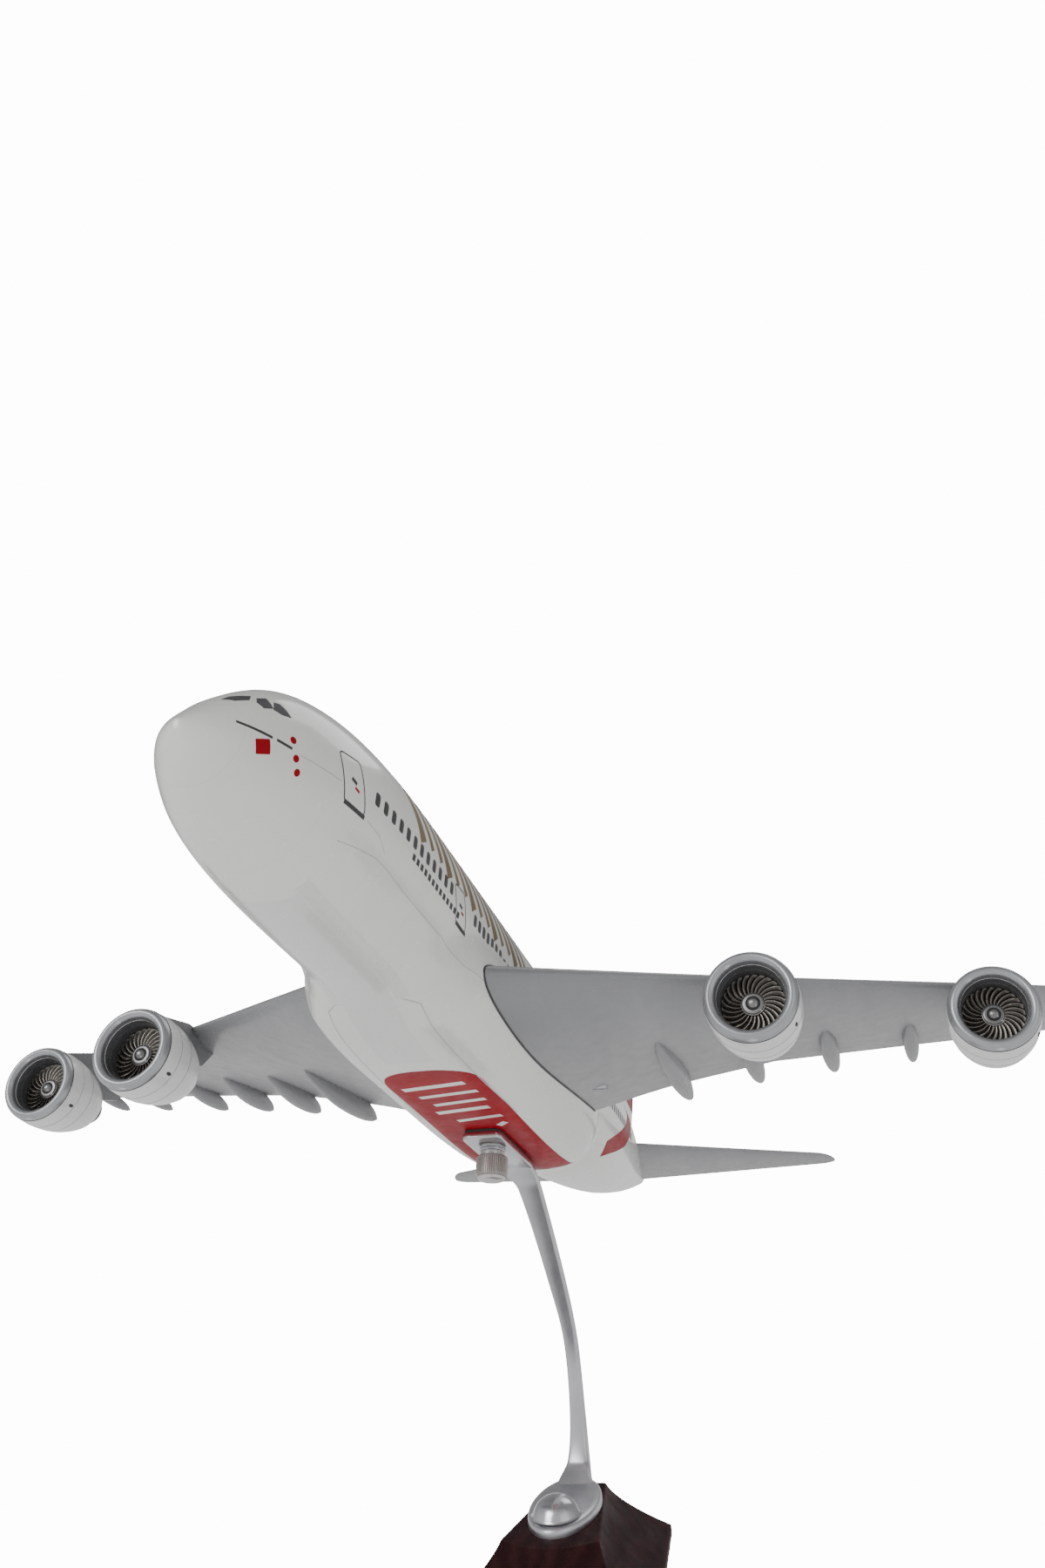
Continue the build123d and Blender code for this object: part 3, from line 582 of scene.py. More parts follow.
# Closed aerofoil from two edge points; way is the direction of its thickness
def foilRing(lead, trail, ratio, way, swell=0.0):
    count, chord = foilForm["steps"], (trail - lead).length
    upper, lower = [], []
    for step in range(count + 1):
        share = (1 - math.cos(math.pi * step / count)) / 2
        half = halfThickness(share, ratio * chord) + foilForm["blunt"] / 2 * share + swell
        middle = lead.lerp(trail, share)
        upper.append((middle + way * half) * metre)
        lower.append((middle - way * half) * metre)
    return upper + lower[:0:-1] if swell == 0 else upper + lower[::-1]


def wingEdge(table, out, side, column):
    curved = out < foilForm["straightFrom"]
    return Vector((side * out, follow(table, out, column, False), follow(table, out, column + 2, curved)))


# Rings from root to tip; tip is how much of the span has a rounded plan
def wingRings(table, side, count, tip=0.0):
    rings = []
    for row in range(count + 1):
        share = 1 - (1 - row / count) ** (foilForm["tipCrowding"] if tip else 1.0)
        out = mix(table[0][0], table[-1][0], share)
        lead, trail = wingEdge(table, out, side, 1), wingEdge(table, out, side, 2)
        if tip:
            past = max(0.0, (out - table[-1][0] + tip) / tip)
            kept = math.sqrt(max(0.01, 1 - past ** 2))
            cut = [foilForm[end] * (1 - kept) for end in ("tipLead", "tipTrail")]
            lead, trail = lead.lerp(trail, cut[0]), trail.lerp(lead, cut[1])
        along = (trail - lead).normalized()
        rings.append(foilRing(lead, trail, follow(table, out, 5), Vector((0, -along.z, along.y))))
    return rings


def finRing(level, swell=0.0):
    lead = Vector((0, follow(finStations, level, 1, False), level))
    trail = Vector((0, follow(finStations, level, 2, False), level))
    return foilRing(lead, trail, follow(finStations, level, 3), portward, swell)


def makeWingsAndTail():
    for name, side in (("left", 1), ("right", -1)):
        rings = wingRings(wingStations, side, foilForm["wingRings"])
        piece = skinPiece(name + "_wing_skin", [rings], 50)
        settle(piece, "aircraft", "wing_grey", paints["wingGrey"], [name + "_wing"])
        rings = wingRings(tailplaneStations, side, foilForm["tailRings"], foilForm["tip"])
        piece = skinPiece(name + "_tailplane_skin", [rings], 50)
        settle(piece, "aircraft", "wing_grey", paints["wingGrey"], [name + "_tailplane"])
    low, high, count = finStations[0][0], finStations[-1][0], foilForm["finRings"]
    rings = [finRing(mix(low, high, row / count)) for row in range(count + 1)]
    settle(skinPiece("fin_skin", [rings], 50), "aircraft", "fin_white", paints["hullLacquer"], ["fin"])
    shells, count = [], finBands["rings"]
    for bottom, top in finBands["levels"]:
        shells.append([finRing(mix(bottom, top, row / count), finBands["swell"]) for row in range(count + 1)])
    settle(skinPiece("fin_bands", shells, 40), "aircraft", None, paints["redLacquer"])


makeWingsAndTail()
print("wings and tail made")


# Rings of a thin seam that goes round the aerofoil where a wing's skin meets the hull
def wingRoot(side):
    look = {"reach": 5.2, "thick": 0.00040}
    rings = wingRings(wingStations, side, foilForm["wingRings"])
    path = []
    for column in range(len(rings[0])):
        spot = None
        for inner, outer in zip(rings, rings[1:]):
            start, way = inner[column], outer[column] - inner[column]
            found = hullTree.ray_cast(start, way.normalized(), way.length * 6)
            if found[0] is not None and abs(found[0].x) < look["reach"] * metre:
                spot = found[0]
                break
        if spot is not None:
            path.append(spot)
    smooth = [sum((path[(i + j) % len(path)] for j in (-1, 0, 1)), Vector()) / 3 for i in range(len(path))]
    tube = []
    for i, here in enumerate(smooth):
        heading = (smooth[(i + 1) % len(smooth)] - smooth[i - 1]).normalized()
        across = heading.cross(portward).normalized()
        tube.append([here + (across * math.cos(a) + portward * math.sin(a)) * look["thick"]
                     for a in (2 * math.pi * s / 8 for s in range(8))])
    return tube + [tube[0]]


def makeRoots():
    for name, side in (("left", 1), ("right", -1)):
        points, faces = skin(wingRoot(side), caps=(False, False))
        settle(meshPiece(name + "_root_seam", points, faces), "aircraft", None, paints["seamInk"])


makeRoots()


# Flap-track fairings: out and length in full-size metres, width and depth in millimetres.
canoeStations = ((9.5, 10.2, 6.0, 9.5), (13.4, 7.3, 6.2, 8.0), (17.4, 6.7, 6.0, 7.5),
                 (21.7, 6.3, 5.2, 6.5), (27.4, 5.8, 4.6, 5.6), (32.0, 5.2, 4.0, 5.0))
canoeForm = {"reach": 1.008, "drop": 0.592, "rings": 34, "around": 28, "squareness": 2.3,
             "sizes": ((0.0, 0.0), (0.08, 0.40), (0.26, 0.80), (0.52, 1.0), (0.78, 0.82),
                       (0.93, 0.48), (1.0, 0.12))}
# Fence: one corner about the wing tip's leading edge and the others about its trailing edge.
fenceForm = {"lead": (-1.0, -3.0), "trail": ((-1.5, 8.5), (4.0, 9.0), (2.0, 0.0), (4.5, -7.5), (0.5, -7.5)),
             "thick": 1.3, "bevel": 0.35, "radius": (0.5, 1.0, 0.8, 1.5, 0.8, 0.8), "sunk": 0.05}


def canoeRings(out, length, width, depth, side):
    lead, trail = wingEdge(wingStations, out, 1, 1), wingEdge(wingStations, out, 1, 2)
    end = trail.y + canoeForm["reach"]
    start = end - length
    share = (start - lead.y) / (trail.y - lead.y)
    under = halfThickness(share, follow(wingStations, out, 5) * (trail.y - lead.y))
    startUp, endUp = mix(lead.z, trail.z, share) - under + 0.08, trail.z - canoeForm["drop"]
    rings, n = [], canoeForm["squareness"]
    for row in range(canoeForm["rings"] + 1):
        along = (1 - math.cos(math.pi * row / canoeForm["rings"])) / 2
        size = max(0.015, follow(canoeForm["sizes"], along, 1))
        middle = Vector((side * out, mix(start, end, along), mix(startUp, endUp, along))) * metre
        ring = []
        for step in range(canoeForm["around"]):
            angle = 2 * math.pi * step / canoeForm["around"]
            c, s = math.cos(angle), math.sin(angle)
            long = (abs(c) ** n + abs(s) ** n) ** (-1 / n) * size / 2 * mm
            ring.append(middle + Vector((width * c * long, 0, depth * s * long)))
        rings.append(ring)
    return rings


# A closed outline in two dimensions moved inwards
def insetLoop(loop, inset):
    turning = sum(a.x * b.y - b.x * a.y for a, b in zip(loop, loop[1:] + loop[:1]))
    sign = 1 if turning > 0 else -1
    moved = []
    for i, here in enumerate(loop):
        heading = (loop[(i + 1) % len(loop)] - loop[i - 1]).normalized()
        moved.append(here + Vector((-heading.y, heading.x)) * inset * sign)
    return moved


# A flat piece with softened edges; place turns (u, v, depth) into a point
def slab(name, loop, thick, bevel, place, sharp=40):
    rings = []
    for depth, inset in ((0, bevel), (bevel * 0.3, bevel * 0.3), (bevel, 0), (thick - bevel, 0),
                         (thick - bevel * 0.3, bevel * 0.3), (thick, bevel)):
        rings.append([place(p.x, p.y, depth) for p in insetLoop(loop, inset)])
    points, faces = skin(rings, caps=(False, False))
    around = len(loop)
    faces += [tuple(range(around)), tuple(range(len(points) - around, len(points)))]
    return meshPiece(name, points, faces, sharp)


def makeFittings():
    for name, side in (("left", 1), ("right", -1)):
        shells = [canoeRings(*station, side) for station in canoeStations]
        piece = skinPiece(name + "_fairing_skins", shells, 50)
        settle(piece, "aircraft", "wing_grey", paints["wingGrey"], [name + "_flap_track_fairings"])
        out, lead, trail, _, level, _ = (value / mm * metre for value in wingStations[-1])
        corners = [Vector((lead, level)) + Vector(fenceForm["lead"])]
        corners += [Vector((trail, level)) + Vector(corner) for corner in fenceForm["trail"]]
        loop = rounded(corners, fenceForm["radius"])
        out -= fenceForm["sunk"]

        def place(y, z, depth):
            return Vector((side * (out + depth), y, z)) * mm
        piece = slab(name + "_fence_skin", loop, fenceForm["thick"], fenceForm["bevel"], place)
        settle(piece, "aircraft", "wing_grey", paints["wingGrey"], [name + "_wingtip_fence"])


makeFittings()
print("wing fittings made")


# Engines: name, out, aft and up. Each is drawn in millimetres, its lip at y = 0 and its axis aft.
engines = (("left_inner", 15.15, 25.0, -3.06), ("left_outer", 25.55, 32.0, -1.76),
           ("right_inner", -15.15, 25.0, -3.06), ("right_outer", -25.55, 32.0, -1.76))
engineForm = {
    "cowl": ((13.0, 2.62), (13.08, 3.2), (13.3, 5.5), (13.4, 9.0), (13.1, 14.0), (12.1, 19.5), (10.6, 24.0),
             (9.0, 27.4), (8.85, 27.5), (8.65, 27.45), (8.7, 26.5), (9.1, 20.0), (9.15, 12.0),
             (9.15, 6.5), (9.45, 2.8), (9.6, 2.62)),
    "lip": ((9.5, 2.6), (9.62, 1.9), (9.9, 1.0), (10.5, 0.32), (11.3, 0.0), (12.1, 0.28), (12.6, 0.9),
            (12.9, 1.7), (13.0, 2.45), (12.9, 2.6)),
    "gap": ((13.02, 2.5), (13.1, 2.58), (13.1, 2.78), (13.0, 2.86), (12.8, 2.7)),
    "duct": ((9.46, 2.75), (9.3, 3.4), (9.14, 6.5), (9.14, 11.4), (9.04, 11.4), (8.98, 6.5), (9.2, 3.4),
             (9.4, 2.7)),
    "liner": ((9.2, 5.0), (9.0, 5.1), (9.0, 5.5), (9.2, 5.6)),
    "hub": ((0.76, 7.6), (3.1, 7.6), (3.1, 10.2), (0.76, 10.2)),
    "web": ((3.0, 9.15), (8.85, 9.15), (8.85, 9.55), (3.0, 9.55)),
    "spinner": ((0.0, 5.7), (0.5, 5.74), (1.1, 5.95), (1.6, 6.3), (1.98, 6.75), (2.05, 6.95), (2.0, 7.0),
                (2.25, 7.02), (2.65, 7.05), (2.95, 7.15), (3.08, 7.3), (3.1, 7.45), (3.1, 7.6), (0.0, 7.6)),
    "core": ((0.0, 11.2), (9.05, 11.2), (9.05, 14.0), (6.4, 14.0), (6.55, 18.0), (6.6, 22.0), (6.35, 25.5),
             (6.0, 28.0), (5.3, 31.2), (4.7, 33.9), (4.55, 34.0), (4.2, 33.9), (4.1, 33.2), (3.3, 33.4),
             (2.6, 34.6), (1.95, 36.2), (1.4, 37.5), (0.5, 39.2), (0.0, 39.5)),
    "curved": ("lip", "spinner", "core", "cowl"), "seams": ((13.42, 8.6), (12.98, 15.0)),
    "seamHalf": 0.07, "seamOver": 0.015, "seamUnder": 0.12, "blades": 26}


# Extra points along a turned outline, on a curve that keeps its corners' places
def smoothProfile(profile, steps=3):
    rows = [(float(i), *point) for i, point in enumerate(profile)]
    return [(follow(rows, i / steps, 1), follow(rows, i / steps, 2))
            for i in range((len(rows) - 1) * steps + 1)]


# One twisted, swept blade, as a closed piece at the top of the wheel
def fanBlade():
    look = {"root": 2.95, "tip": 8.8, "sweep": 22, "twist": (26, 52), "chord": (1.45, 2.3), "thick": 0.26,
            "middle": 8.35, "rings": 14, "around": 12}
    rings = []
    for row in range(look["rings"] + 1):
        share = row / look["rings"]
        radius, angle = mix(look["root"], look["tip"], share), math.radians(look["sweep"]) * share ** 1.6
        twist, chord = math.radians(mix(*look["twist"], share)), mix(*look["chord"], share)
        ring = []
        for step in range(look["around"]):
            turn = 2 * math.pi * step / look["around"]
            u, v = math.cos(turn) * chord / 2, math.sin(turn) * look["thick"] / 2
            v += 0.16 * (1 - (2 * u / chord) ** 2)
            across = u * math.sin(twist) + v * math.cos(twist)
            back = u * math.cos(twist) - v * math.sin(twist)
            turned = angle + across / radius
            ring.append(Vector((radius * math.sin(turned), look["middle"] + back * 0.62,
                                radius * math.cos(turned))) * mm)
        rings.append(ring)
    return skinPiece("blade_form", [rings], 60)


# Copies of a piece: turned evenly about the y axis, or one on each point with its own turn
def patternTree(name, wheel):
    tree = bpy.data.node_groups.new(name, "GeometryNodeTree")
    face = tree.interface
    face.new_socket("Geometry", in_out="INPUT", socket_type="NodeSocketGeometry")
    face.new_socket("Piece", in_out="INPUT", socket_type="NodeSocketObject")
    face.new_socket("Count", in_out="INPUT", socket_type="NodeSocketInt")
    face.new_socket("Paint", in_out="INPUT", socket_type="NodeSocketMaterial")
    face.new_socket("Geometry", in_out="OUTPUT", socket_type="NodeSocketGeometry")
    given = add(tree, "NodeGroupInput")
    source = add(tree, "GeometryNodeObjectInfo", {"transform_space": "ORIGINAL"},
                 {"Object": given.outputs["Piece"]})
    if wheel:
        places = add(tree, "GeometryNodePoints", None, {"Count": given.outputs["Count"]}).outputs[0]
        share = calc(tree, "DIVIDE", add(tree, "GeometryNodeInputIndex"), given.outputs["Count"])
        angle = calc(tree, "MULTIPLY", share, 2 * math.pi)
        turn = add(tree, "ShaderNodeCombineXYZ", None, {"Y": angle}).outputs[0]
    else:
        places = given.outputs["Geometry"]
        turn = add(tree, "GeometryNodeInputNamedAttribute", {"data_type": "FLOAT_VECTOR"},
                   {"Name": "turn"}).outputs[0]
    copies = add(tree, "GeometryNodeInstanceOnPoints", None,
                 {"Points": places, "Instance": source.outputs["Geometry"], "Rotation": turn})
    real = add(tree, "GeometryNodeRealizeInstances", None, {"Geometry": copies})
    painted = add(tree, "GeometryNodeSetMaterial", None,
                  {"Geometry": real, "Material": given.outputs["Paint"]})
    done = add(tree, "NodeGroupOutput")
    tree.links.new(painted.outputs[0], done.inputs["Geometry"])
    return tree


patterns = {"wheel": patternTree("turnedCopies", True), "points": patternTree("placedCopies", False)}


# A plain mesh of a form's copies; the form is used up
def pattern(name, kind, form, count, paint, places=None, turns=None, sharp=40):
    carrier = bpy.data.meshes.new(name + "_places")
    carrier.from_pydata([tuple(p) for p in places or []], [], [])
    if turns:
        attribute = carrier.attributes.new("turn", "FLOAT_VECTOR", "POINT")
        attribute.data.foreach_set("vector", [value for turn in turns for value in turn])
    holder = bpy.data.objects.new(name + "_places", carrier)
    bpy.context.scene.collection.objects.link(holder)
    change = holder.modifiers.new("pattern", "NODES")
    tree = patterns[kind]
    change.node_group = tree
    values = {"Piece": form, "Count": count, "Paint": paint}
    for item in tree.interface.items_tree:
        if item.in_out == "INPUT" and item.name in values:
            change[item.identifier] = values[item.name]
    shapes = bpy.context.evaluated_depsgraph_get()
    shapes.update()
    mesh = bpy.data.meshes.new_from_object(holder.evaluated_get(shapes))
    mesh.name = name
    for spent in (holder, form):
        data = spent.data
        bpy.data.objects.remove(spent)
        bpy.data.meshes.remove(data)
    mesh.shade_smooth()
    mesh.set_sharp_from_angle(angle=math.radians(sharp))
    piece = bpy.data.objects.new(name, mesh)
    bpy.context.scene.collection.objects.link(piece)
    return piece


# Pylon: corners about the cowl, about the wing's leading edge, and about the core, in millimetres.
pylonForm = {"thick": 2.5, "bevel": 0.4, "radius": 1.2, "cowl": ((6.5, 12.6), (13.0, 15.0)),
             "wing": ((-3.0, 0.9), (4.0, 0.6), (17.0, -1.0)), "notch": (9.0, 8.0),
             "core": ((33.0, 4.0), (20.0, 6.0))}


def pylonLoop(out, aft, up):
    edge = (wingEdge(wingStations, out, 1, 1) - Vector((0, aft, up))) * metre / mm
    corners = [*pylonForm["cowl"], *((edge.y + y, edge.z + z) for y, z in pylonForm["wing"]),
               (edge.y + pylonForm["notch"][0], pylonForm["notch"][1]), *pylonForm["core"]]
    return rounded([Vector(corner) for corner in corners], pylonForm["radius"])


def makeEngine(name, out, aft, up):
    spot = Matrix.Translation(Vector((out, aft, up)) * metre)

    def placed(piece, body, slotName, paint, stands=(), small=True):
        if small:
            piece.data.transform(Matrix.Scale(mm, 4))
        piece.data.transform(spot)
        return settle(piece, body, slotName, paints[paint], stands)

    def turnedPart(label, part, slotName, paint, stands=(), body="aircraft", ring=True, sharp=35):
        profile = engineForm[part]
        if part in engineForm["curved"]:
            profile = smoothProfile(profile)
        return placed(lathePiece(name + label, profile, 96, sharp, ring), body, slotName, paint, stands)

    turnedPart("_cowl_skin", "cowl", "cowl_white", "cowlLacquer", [name + "_nacelle"])
    turnedPart("_lip_skin", "lip", "lip_silver", "lipSilver", [name + "_intake_lip"])
    turnedPart("_lip_gap", "gap", None, "seamInk")
    turnedPart("_duct", "duct", "core_grey", "ductDark")
    turnedPart("_duct_band", "liner", "core_grey", "ductDark")
    turnedPart("_core_skin", "core", "core_grey", "coreSteel", [name + "_core_cowl"], ring=False)
    rotor = name + "_rotor"
    turnedPart("_hub", "hub", "fan_bronze", "fanBronze", (), rotor)
    turnedPart("_web", "web", "fan_bronze", "fanBronze", (), rotor)
    turnedPart("_spinner_skin", "spinner", "fan_bronze", "spinnerSteel", [name + "_spinner"], rotor, False)
    count = engineForm["blades"]
    blades = pattern(name + "_blades", "wheel", fanBlade(), count, paints["fanBronze"], sharp=60)
    placed(blades, rotor, "fan_bronze", "fanBronze", [name + "_fan"], small=False)
    side = 1 if out > 0 else -1
    loop = pylonLoop(abs(out), aft, up)

    def place(y, z, depth):
        return Vector((depth - pylonForm["thick"] / 2, y, z))
    strut = slab(name + "_pylon_skin", loop, pylonForm["thick"], pylonForm["bevel"], place)
    placed(strut, "aircraft", "pylon_grey", "pylonGrey", [name + "_pylon"])
    half, over, under = (engineForm[part] for part in ("seamHalf", "seamOver", "seamUnder"))
    for index, (radius, y) in enumerate(engineForm["seams"]):
        line = ((radius - under, y - half), (radius + over, y - half), (radius + over, y + half),
                (radius - under, y + half))
        seam = lathePiece(f"{name}_cowl_seam_{index}", line, 96, 35, True)
        placed(seam, "aircraft", None, "lineInk")
    drain = skinPiece(name + "_drain_mark", [drainRings(side)], 50)
    placed(drain, "aircraft", None, "seamInk")


# Small dark drain blister low on the cowl
def drainRings(side):
    look = {"angle": -32, "y": 7.0, "radius": 13.3, "long": 1.2, "wide": 0.6, "tall": 0.35}
    angle = math.radians(look["angle"])
    out = Vector((math.cos(angle), 0, math.sin(angle)))
    across = Vector((-math.sin(angle), 0, math.cos(angle)))
    rings = []
    for row in range(9):
        tilt = math.pi * row / 8
        size = max(0.05, math.sin(tilt))
        middle = out * look["radius"] + Vector((0, look["y"] - math.cos(tilt) * look["long"], 0))
        wide, tall = across * look["wide"] * size, out * look["tall"] * size
        rings.append([middle + wide * math.cos(a) + tall * math.sin(a)
                      for a in (2 * math.pi * s / 16 for s in range(16))])
    return rings


for engine in engines:
    makeEngine(*engine)
print("engines made")


# Plate and pad: aft of the datum and above mid-hull, in millimetres.
plateForm = {"width": 13.0, "front": 214.0, "back": 252.0, "padBack": 247.0, "top": -33.9, "thick": 2.2,
             "padTop": -33.05, "padThick": 0.82, "padLess": 1.0, "padBevel": 0.15,
             "radius": 3.0, "bevel": 0.3}
# Arm on the level airliner, from the plate: aft, up, width, thickness.
armStart = ((238.0, -34.95, 12.4, 1.7), (248.0, -35.0, 12.4, 2.0), (260.0, -35.4, 10.0, 2.7),
            (270.0, -37.6, 8.2, 3.2))
# Arm below the plate, about its footing: aft, above the base's top, width, thickness, in millimetres.
armStations = ((12.7, 72.4, 6.2, 3.7), (23.7, 48.5, 5.0, 3.9), (24.0, 22.6, 5.6, 4.3), (19.6, 7.0, 8.2, 5.0),
               (11.5, 1.8, 13.5, 4.0))
standForm = {"footAft": 22.25, "top": 40.0, "footLead": 3.0, "boltAft": 7.5, "footWide": 12.2,
             "footLong": 22.0, "nutRise": 3.4,
             "footRings": ((1.0, -0.4), (1.0, 1.3), (0.992, 2.0), (0.975, 2.55), (0.94, 3.0), (0.88, 3.3),
                           (0.78, 3.45), (0.5, 3.55), (0.2, 3.6)),
             "nut": ((0.0, 6.4), (1.2, 6.32), (2.6, 6.05), (4.0, 5.56), (5.2, 4.9), (6.3, 3.95), (7.3, 2.6),
                     (7.9, 1.5), (8.2, 0.9), (8.2, 0.0), (0.0, 0.0))}


def plateLoop(back, width):
    front, half = plateForm["front"], width / 2
    corners = [Vector(p) for p in ((-half, front), (half, front), (half, back), (-half, back))]
    return rounded(corners, plateForm["radius"], 8)


def makePlate():
    top, padTop = plateForm["top"], plateForm["padTop"]
    loop = plateLoop(plateForm["back"], plateForm["width"])
    plate = slab("clamp_plate", loop, plateForm["thick"], plateForm["bevel"],
                 lambda x, y, depth: Vector((x, y, top - depth)) * mm)
    settle(plate, "stand", "arm_chrome", paints["chromePlate"])
    loop = plateLoop(plateForm["padBack"], plateForm["width"] - plateForm["padLess"])
    pad = slab("pad_skin", loop, plateForm["padThick"], plateForm["padBevel"],
               lambda x, y, depth: Vector((x, y, padTop - depth)) * mm)
    settle(pad, "stand", "rubber_black", paints["padRubber"], ["plate_pad"])


# Rows of (place along the arm, aft, up, width, thickness) in the stand's frame
def armRows():
    rows = []
    for y, z, width, thick in armStart:
        spot = toStand @ (Vector((0, y, z)) * mm)
        rows.append([spot.y / mm, spot.z / mm, width, thick])
    for y, z, width, thick in armStations:
        rows.append([y + standForm["footAft"], z + standForm["top"], width, thick])
    long, out = 0.0, []
    for i, row in enumerate(rows):
        if i:
            long += math.hypot(row[0] - rows[i - 1][0], row[1] - rows[i - 1][1])
        out.append((long, *row))
    return out


def makeArm():
    look = {"rings": 150, "corner": 0.34, "belly": 0.12, "near": 0.2}
    rows, near = armRows(), look["near"]
    rings = []
    for step in range(look["rings"] + 1):
        at = rows[-1][0] * step / look["rings"]
        here = Vector([follow(rows, at, c) for c in (1, 2)])
        heading = Vector([follow(rows, min(at + near, rows[-1][0]), c) - follow(rows, max(0, at - near), c)
                          for c in (1, 2)]).normalized()
        across = Vector((-heading.y, heading.x))
        width, thick = follow(rows, at, 3), follow(rows, at, 4)
        half, deep = width / 2, thick / 2
        full = deep * (1 + look["belly"])
        corners = [Vector(p) for p in ((-half, -deep), (0, -full), (half, -deep),
                                       (half, deep), (0, full), (-half, deep))]
        radius = thick * look["corner"]
        loop = rounded(corners, [radius, 0, radius, radius, 0, radius], 5)
        rings.append([Vector((p.x, here.x + across.x * p.y, here.y + across.y * p.y)) * mm for p in loop])
    foot = []
    middle = standForm["footAft"] - standForm["footLead"]
    for size, rise in standForm["footRings"]:
        wide, long = standForm["footWide"] * size, standForm["footLong"] * size
        foot.append([Vector((math.cos(a) * wide, middle + math.sin(a) * long, standForm["top"] + rise)) * mm
                     for a in (2 * math.pi * s / 96 for s in range(96))])
    arm = skinPiece("arm_skin", [rings, foot], 42)
    settle(arm, "stand", "arm_chrome", paints["satinPlate"], ["stand_arm"], level=False)
    nut = lathePiece("dome_nut_skin", smoothProfile(standForm["nut"], 2), 96, 35)
    seat = Vector((0, standForm["boltAft"], standForm["top"] + standForm["nutRise"])) * mm
    nut.data.transform(Matrix.Translation(seat)
                       @ Matrix.Rotation(math.radians(90), 4, "X") @ Matrix.Scale(mm, 4))
    settle(nut, "stand", "arm_chrome", paints["chromePlate"], ["foot_dome_nut"], level=False)


makePlate()
makeArm()
print("plate, arm and foot made")


knobForm = {
    "depth": 4.0, "washerDepth": 3.15, "aft": 227.0, "belly": -33.0, "knurls": 48, "knurlRadius": 4.93,
    "profile": ((0.0, -10.9), (2.0, -10.9), (2.0, 0.0), (3.75, 0.0), (3.9, 0.15), (3.9, 1.25), (3.75, 1.45),
                (3.6, 1.5), (4.6, 1.5), (4.85, 1.7), (4.93, 1.95), (4.93, 7.55), (4.85, 7.85), (4.6, 8.05),
                (4.35, 8.1), (0.0, 8.1)),
    "cap": ((0.0, 7.9), (4.3, 7.9), (4.5, 8.15), (4.45, 8.55), (4.15, 8.95), (3.5, 9.2), (2.2, 9.37),
            (0.0, 9.4)),
    "collar": ((3.0, -0.02), (3.85, -0.02), (3.98, 0.12), (3.98, 1.28), (3.85, 1.42), (3.0, 1.42)),
    "washer": ((2.05, 0.0), (4.2, 0.0), (4.3, 0.1), (4.3, 0.7), (4.2, 0.8), (2.05, 0.8)),
    "ridgeHalf": 0.27, "ridgeTall": 0.24, "ridgeEnds": ((1.95, 0.1), (2.15, 1.0), (7.35, 1.0), (7.55, 0.1)),
    "ridgeSection": ((-1, -0.25, 0), (-0.45, 0, 1), (0.45, 0, 1), (1, -0.25, 0))}


# One knurl: a short prism with tapered ends on the knob's side, above the y axis
def ridge():
    half, tall, radius = knobForm["ridgeHalf"], knobForm["ridgeTall"], knobForm["knurlRadius"]
    rings = []
    for y, size in knobForm["ridgeEnds"]:
        rings.append([Vector((u * half, y, radius + sunk + up * tall * size)) * mm
                      for u, sunk, up in knobForm["ridgeSection"]])
    return skinPiece("knurl_form", [rings], 30)


def makeKnob():
    down = Matrix.Rotation(math.radians(-90), 4, "X")

    def placed(piece, paint, stands=(), body="clamp_knob", depth=knobForm["depth"], scale=mm):
        spot = Vector((0, knobForm["aft"], knobForm["belly"] - depth)) * mm
        piece.data.transform(Matrix.Translation(spot) @ down @ Matrix.Scale(scale, 4))
        settle(piece, body, "knob_nickel", paints[paint], stands)

    placed(lathePiece("knob_skin", knobForm["profile"], 96, 30), "knobNickel", ["thumb_screw"])
    placed(lathePiece("knob_cap", knobForm["cap"], 96, 30), "capNickel")
    placed(lathePiece("knob_collar", knobForm["collar"], 96, 30, True), "capNickel")
    ridges = pattern("knob_knurls", "wheel", ridge(), knobForm["knurls"], paints["knobNickel"])
    placed(ridges, "knobNickel", scale=1.0)
    washer = lathePiece("washer_skin", knobForm["washer"], 96, 30, True)
    placed(washer, "chromePlate", ["clamp_washer"], "washer", knobForm["washerDepth"])


makeKnob()
print("clamp knob made")


# Base: corners of its top face and of its rim about the arm's footing, then heights, in millimetres.
baseForm = {"topFront": (17.0, -25.5), "topBack": (9.3, 20.5), "rimFront": (39.6, -73.0),
            "rimBack": (28.8, 34.5), "bow": 6.0, "top": 40.0, "drop": 20.0, "band": 3.5, "felt": 1.5,
            "levels": 26, "power": 1.35, "corner": 1.1}


# The base's outline; share 0 is the top face and 1 the rim
def baseLoop(share, inset=0.0):
    footing = standForm["footAft"]
    xf, yf = (mix(a, b, share) for a, b in zip(baseForm["topFront"], baseForm["rimFront"]))
    xb, yb = (mix(a, b, share) for a, b in zip(baseForm["topBack"], baseForm["rimBack"]))
    xf, xb, yf, yb = xf - inset, xb - inset, yf + footing + inset, yb + footing - inset
    corners, radius = [], []
    for step in range(15):
        across = step / 7 - 1
        corners.append(Vector((xf * across, yf - baseForm["bow"] * (1 - across ** 2))))
        radius.append(baseForm["corner"] if step in (0, 14) else 0)
    for x, y in ((xb, yb), (0, yb), (-xb, yb)):
        corners.append(Vector((x, y)))
        radius.append(baseForm["corner"] if x else 0)
    return rounded(corners, radius, 6)


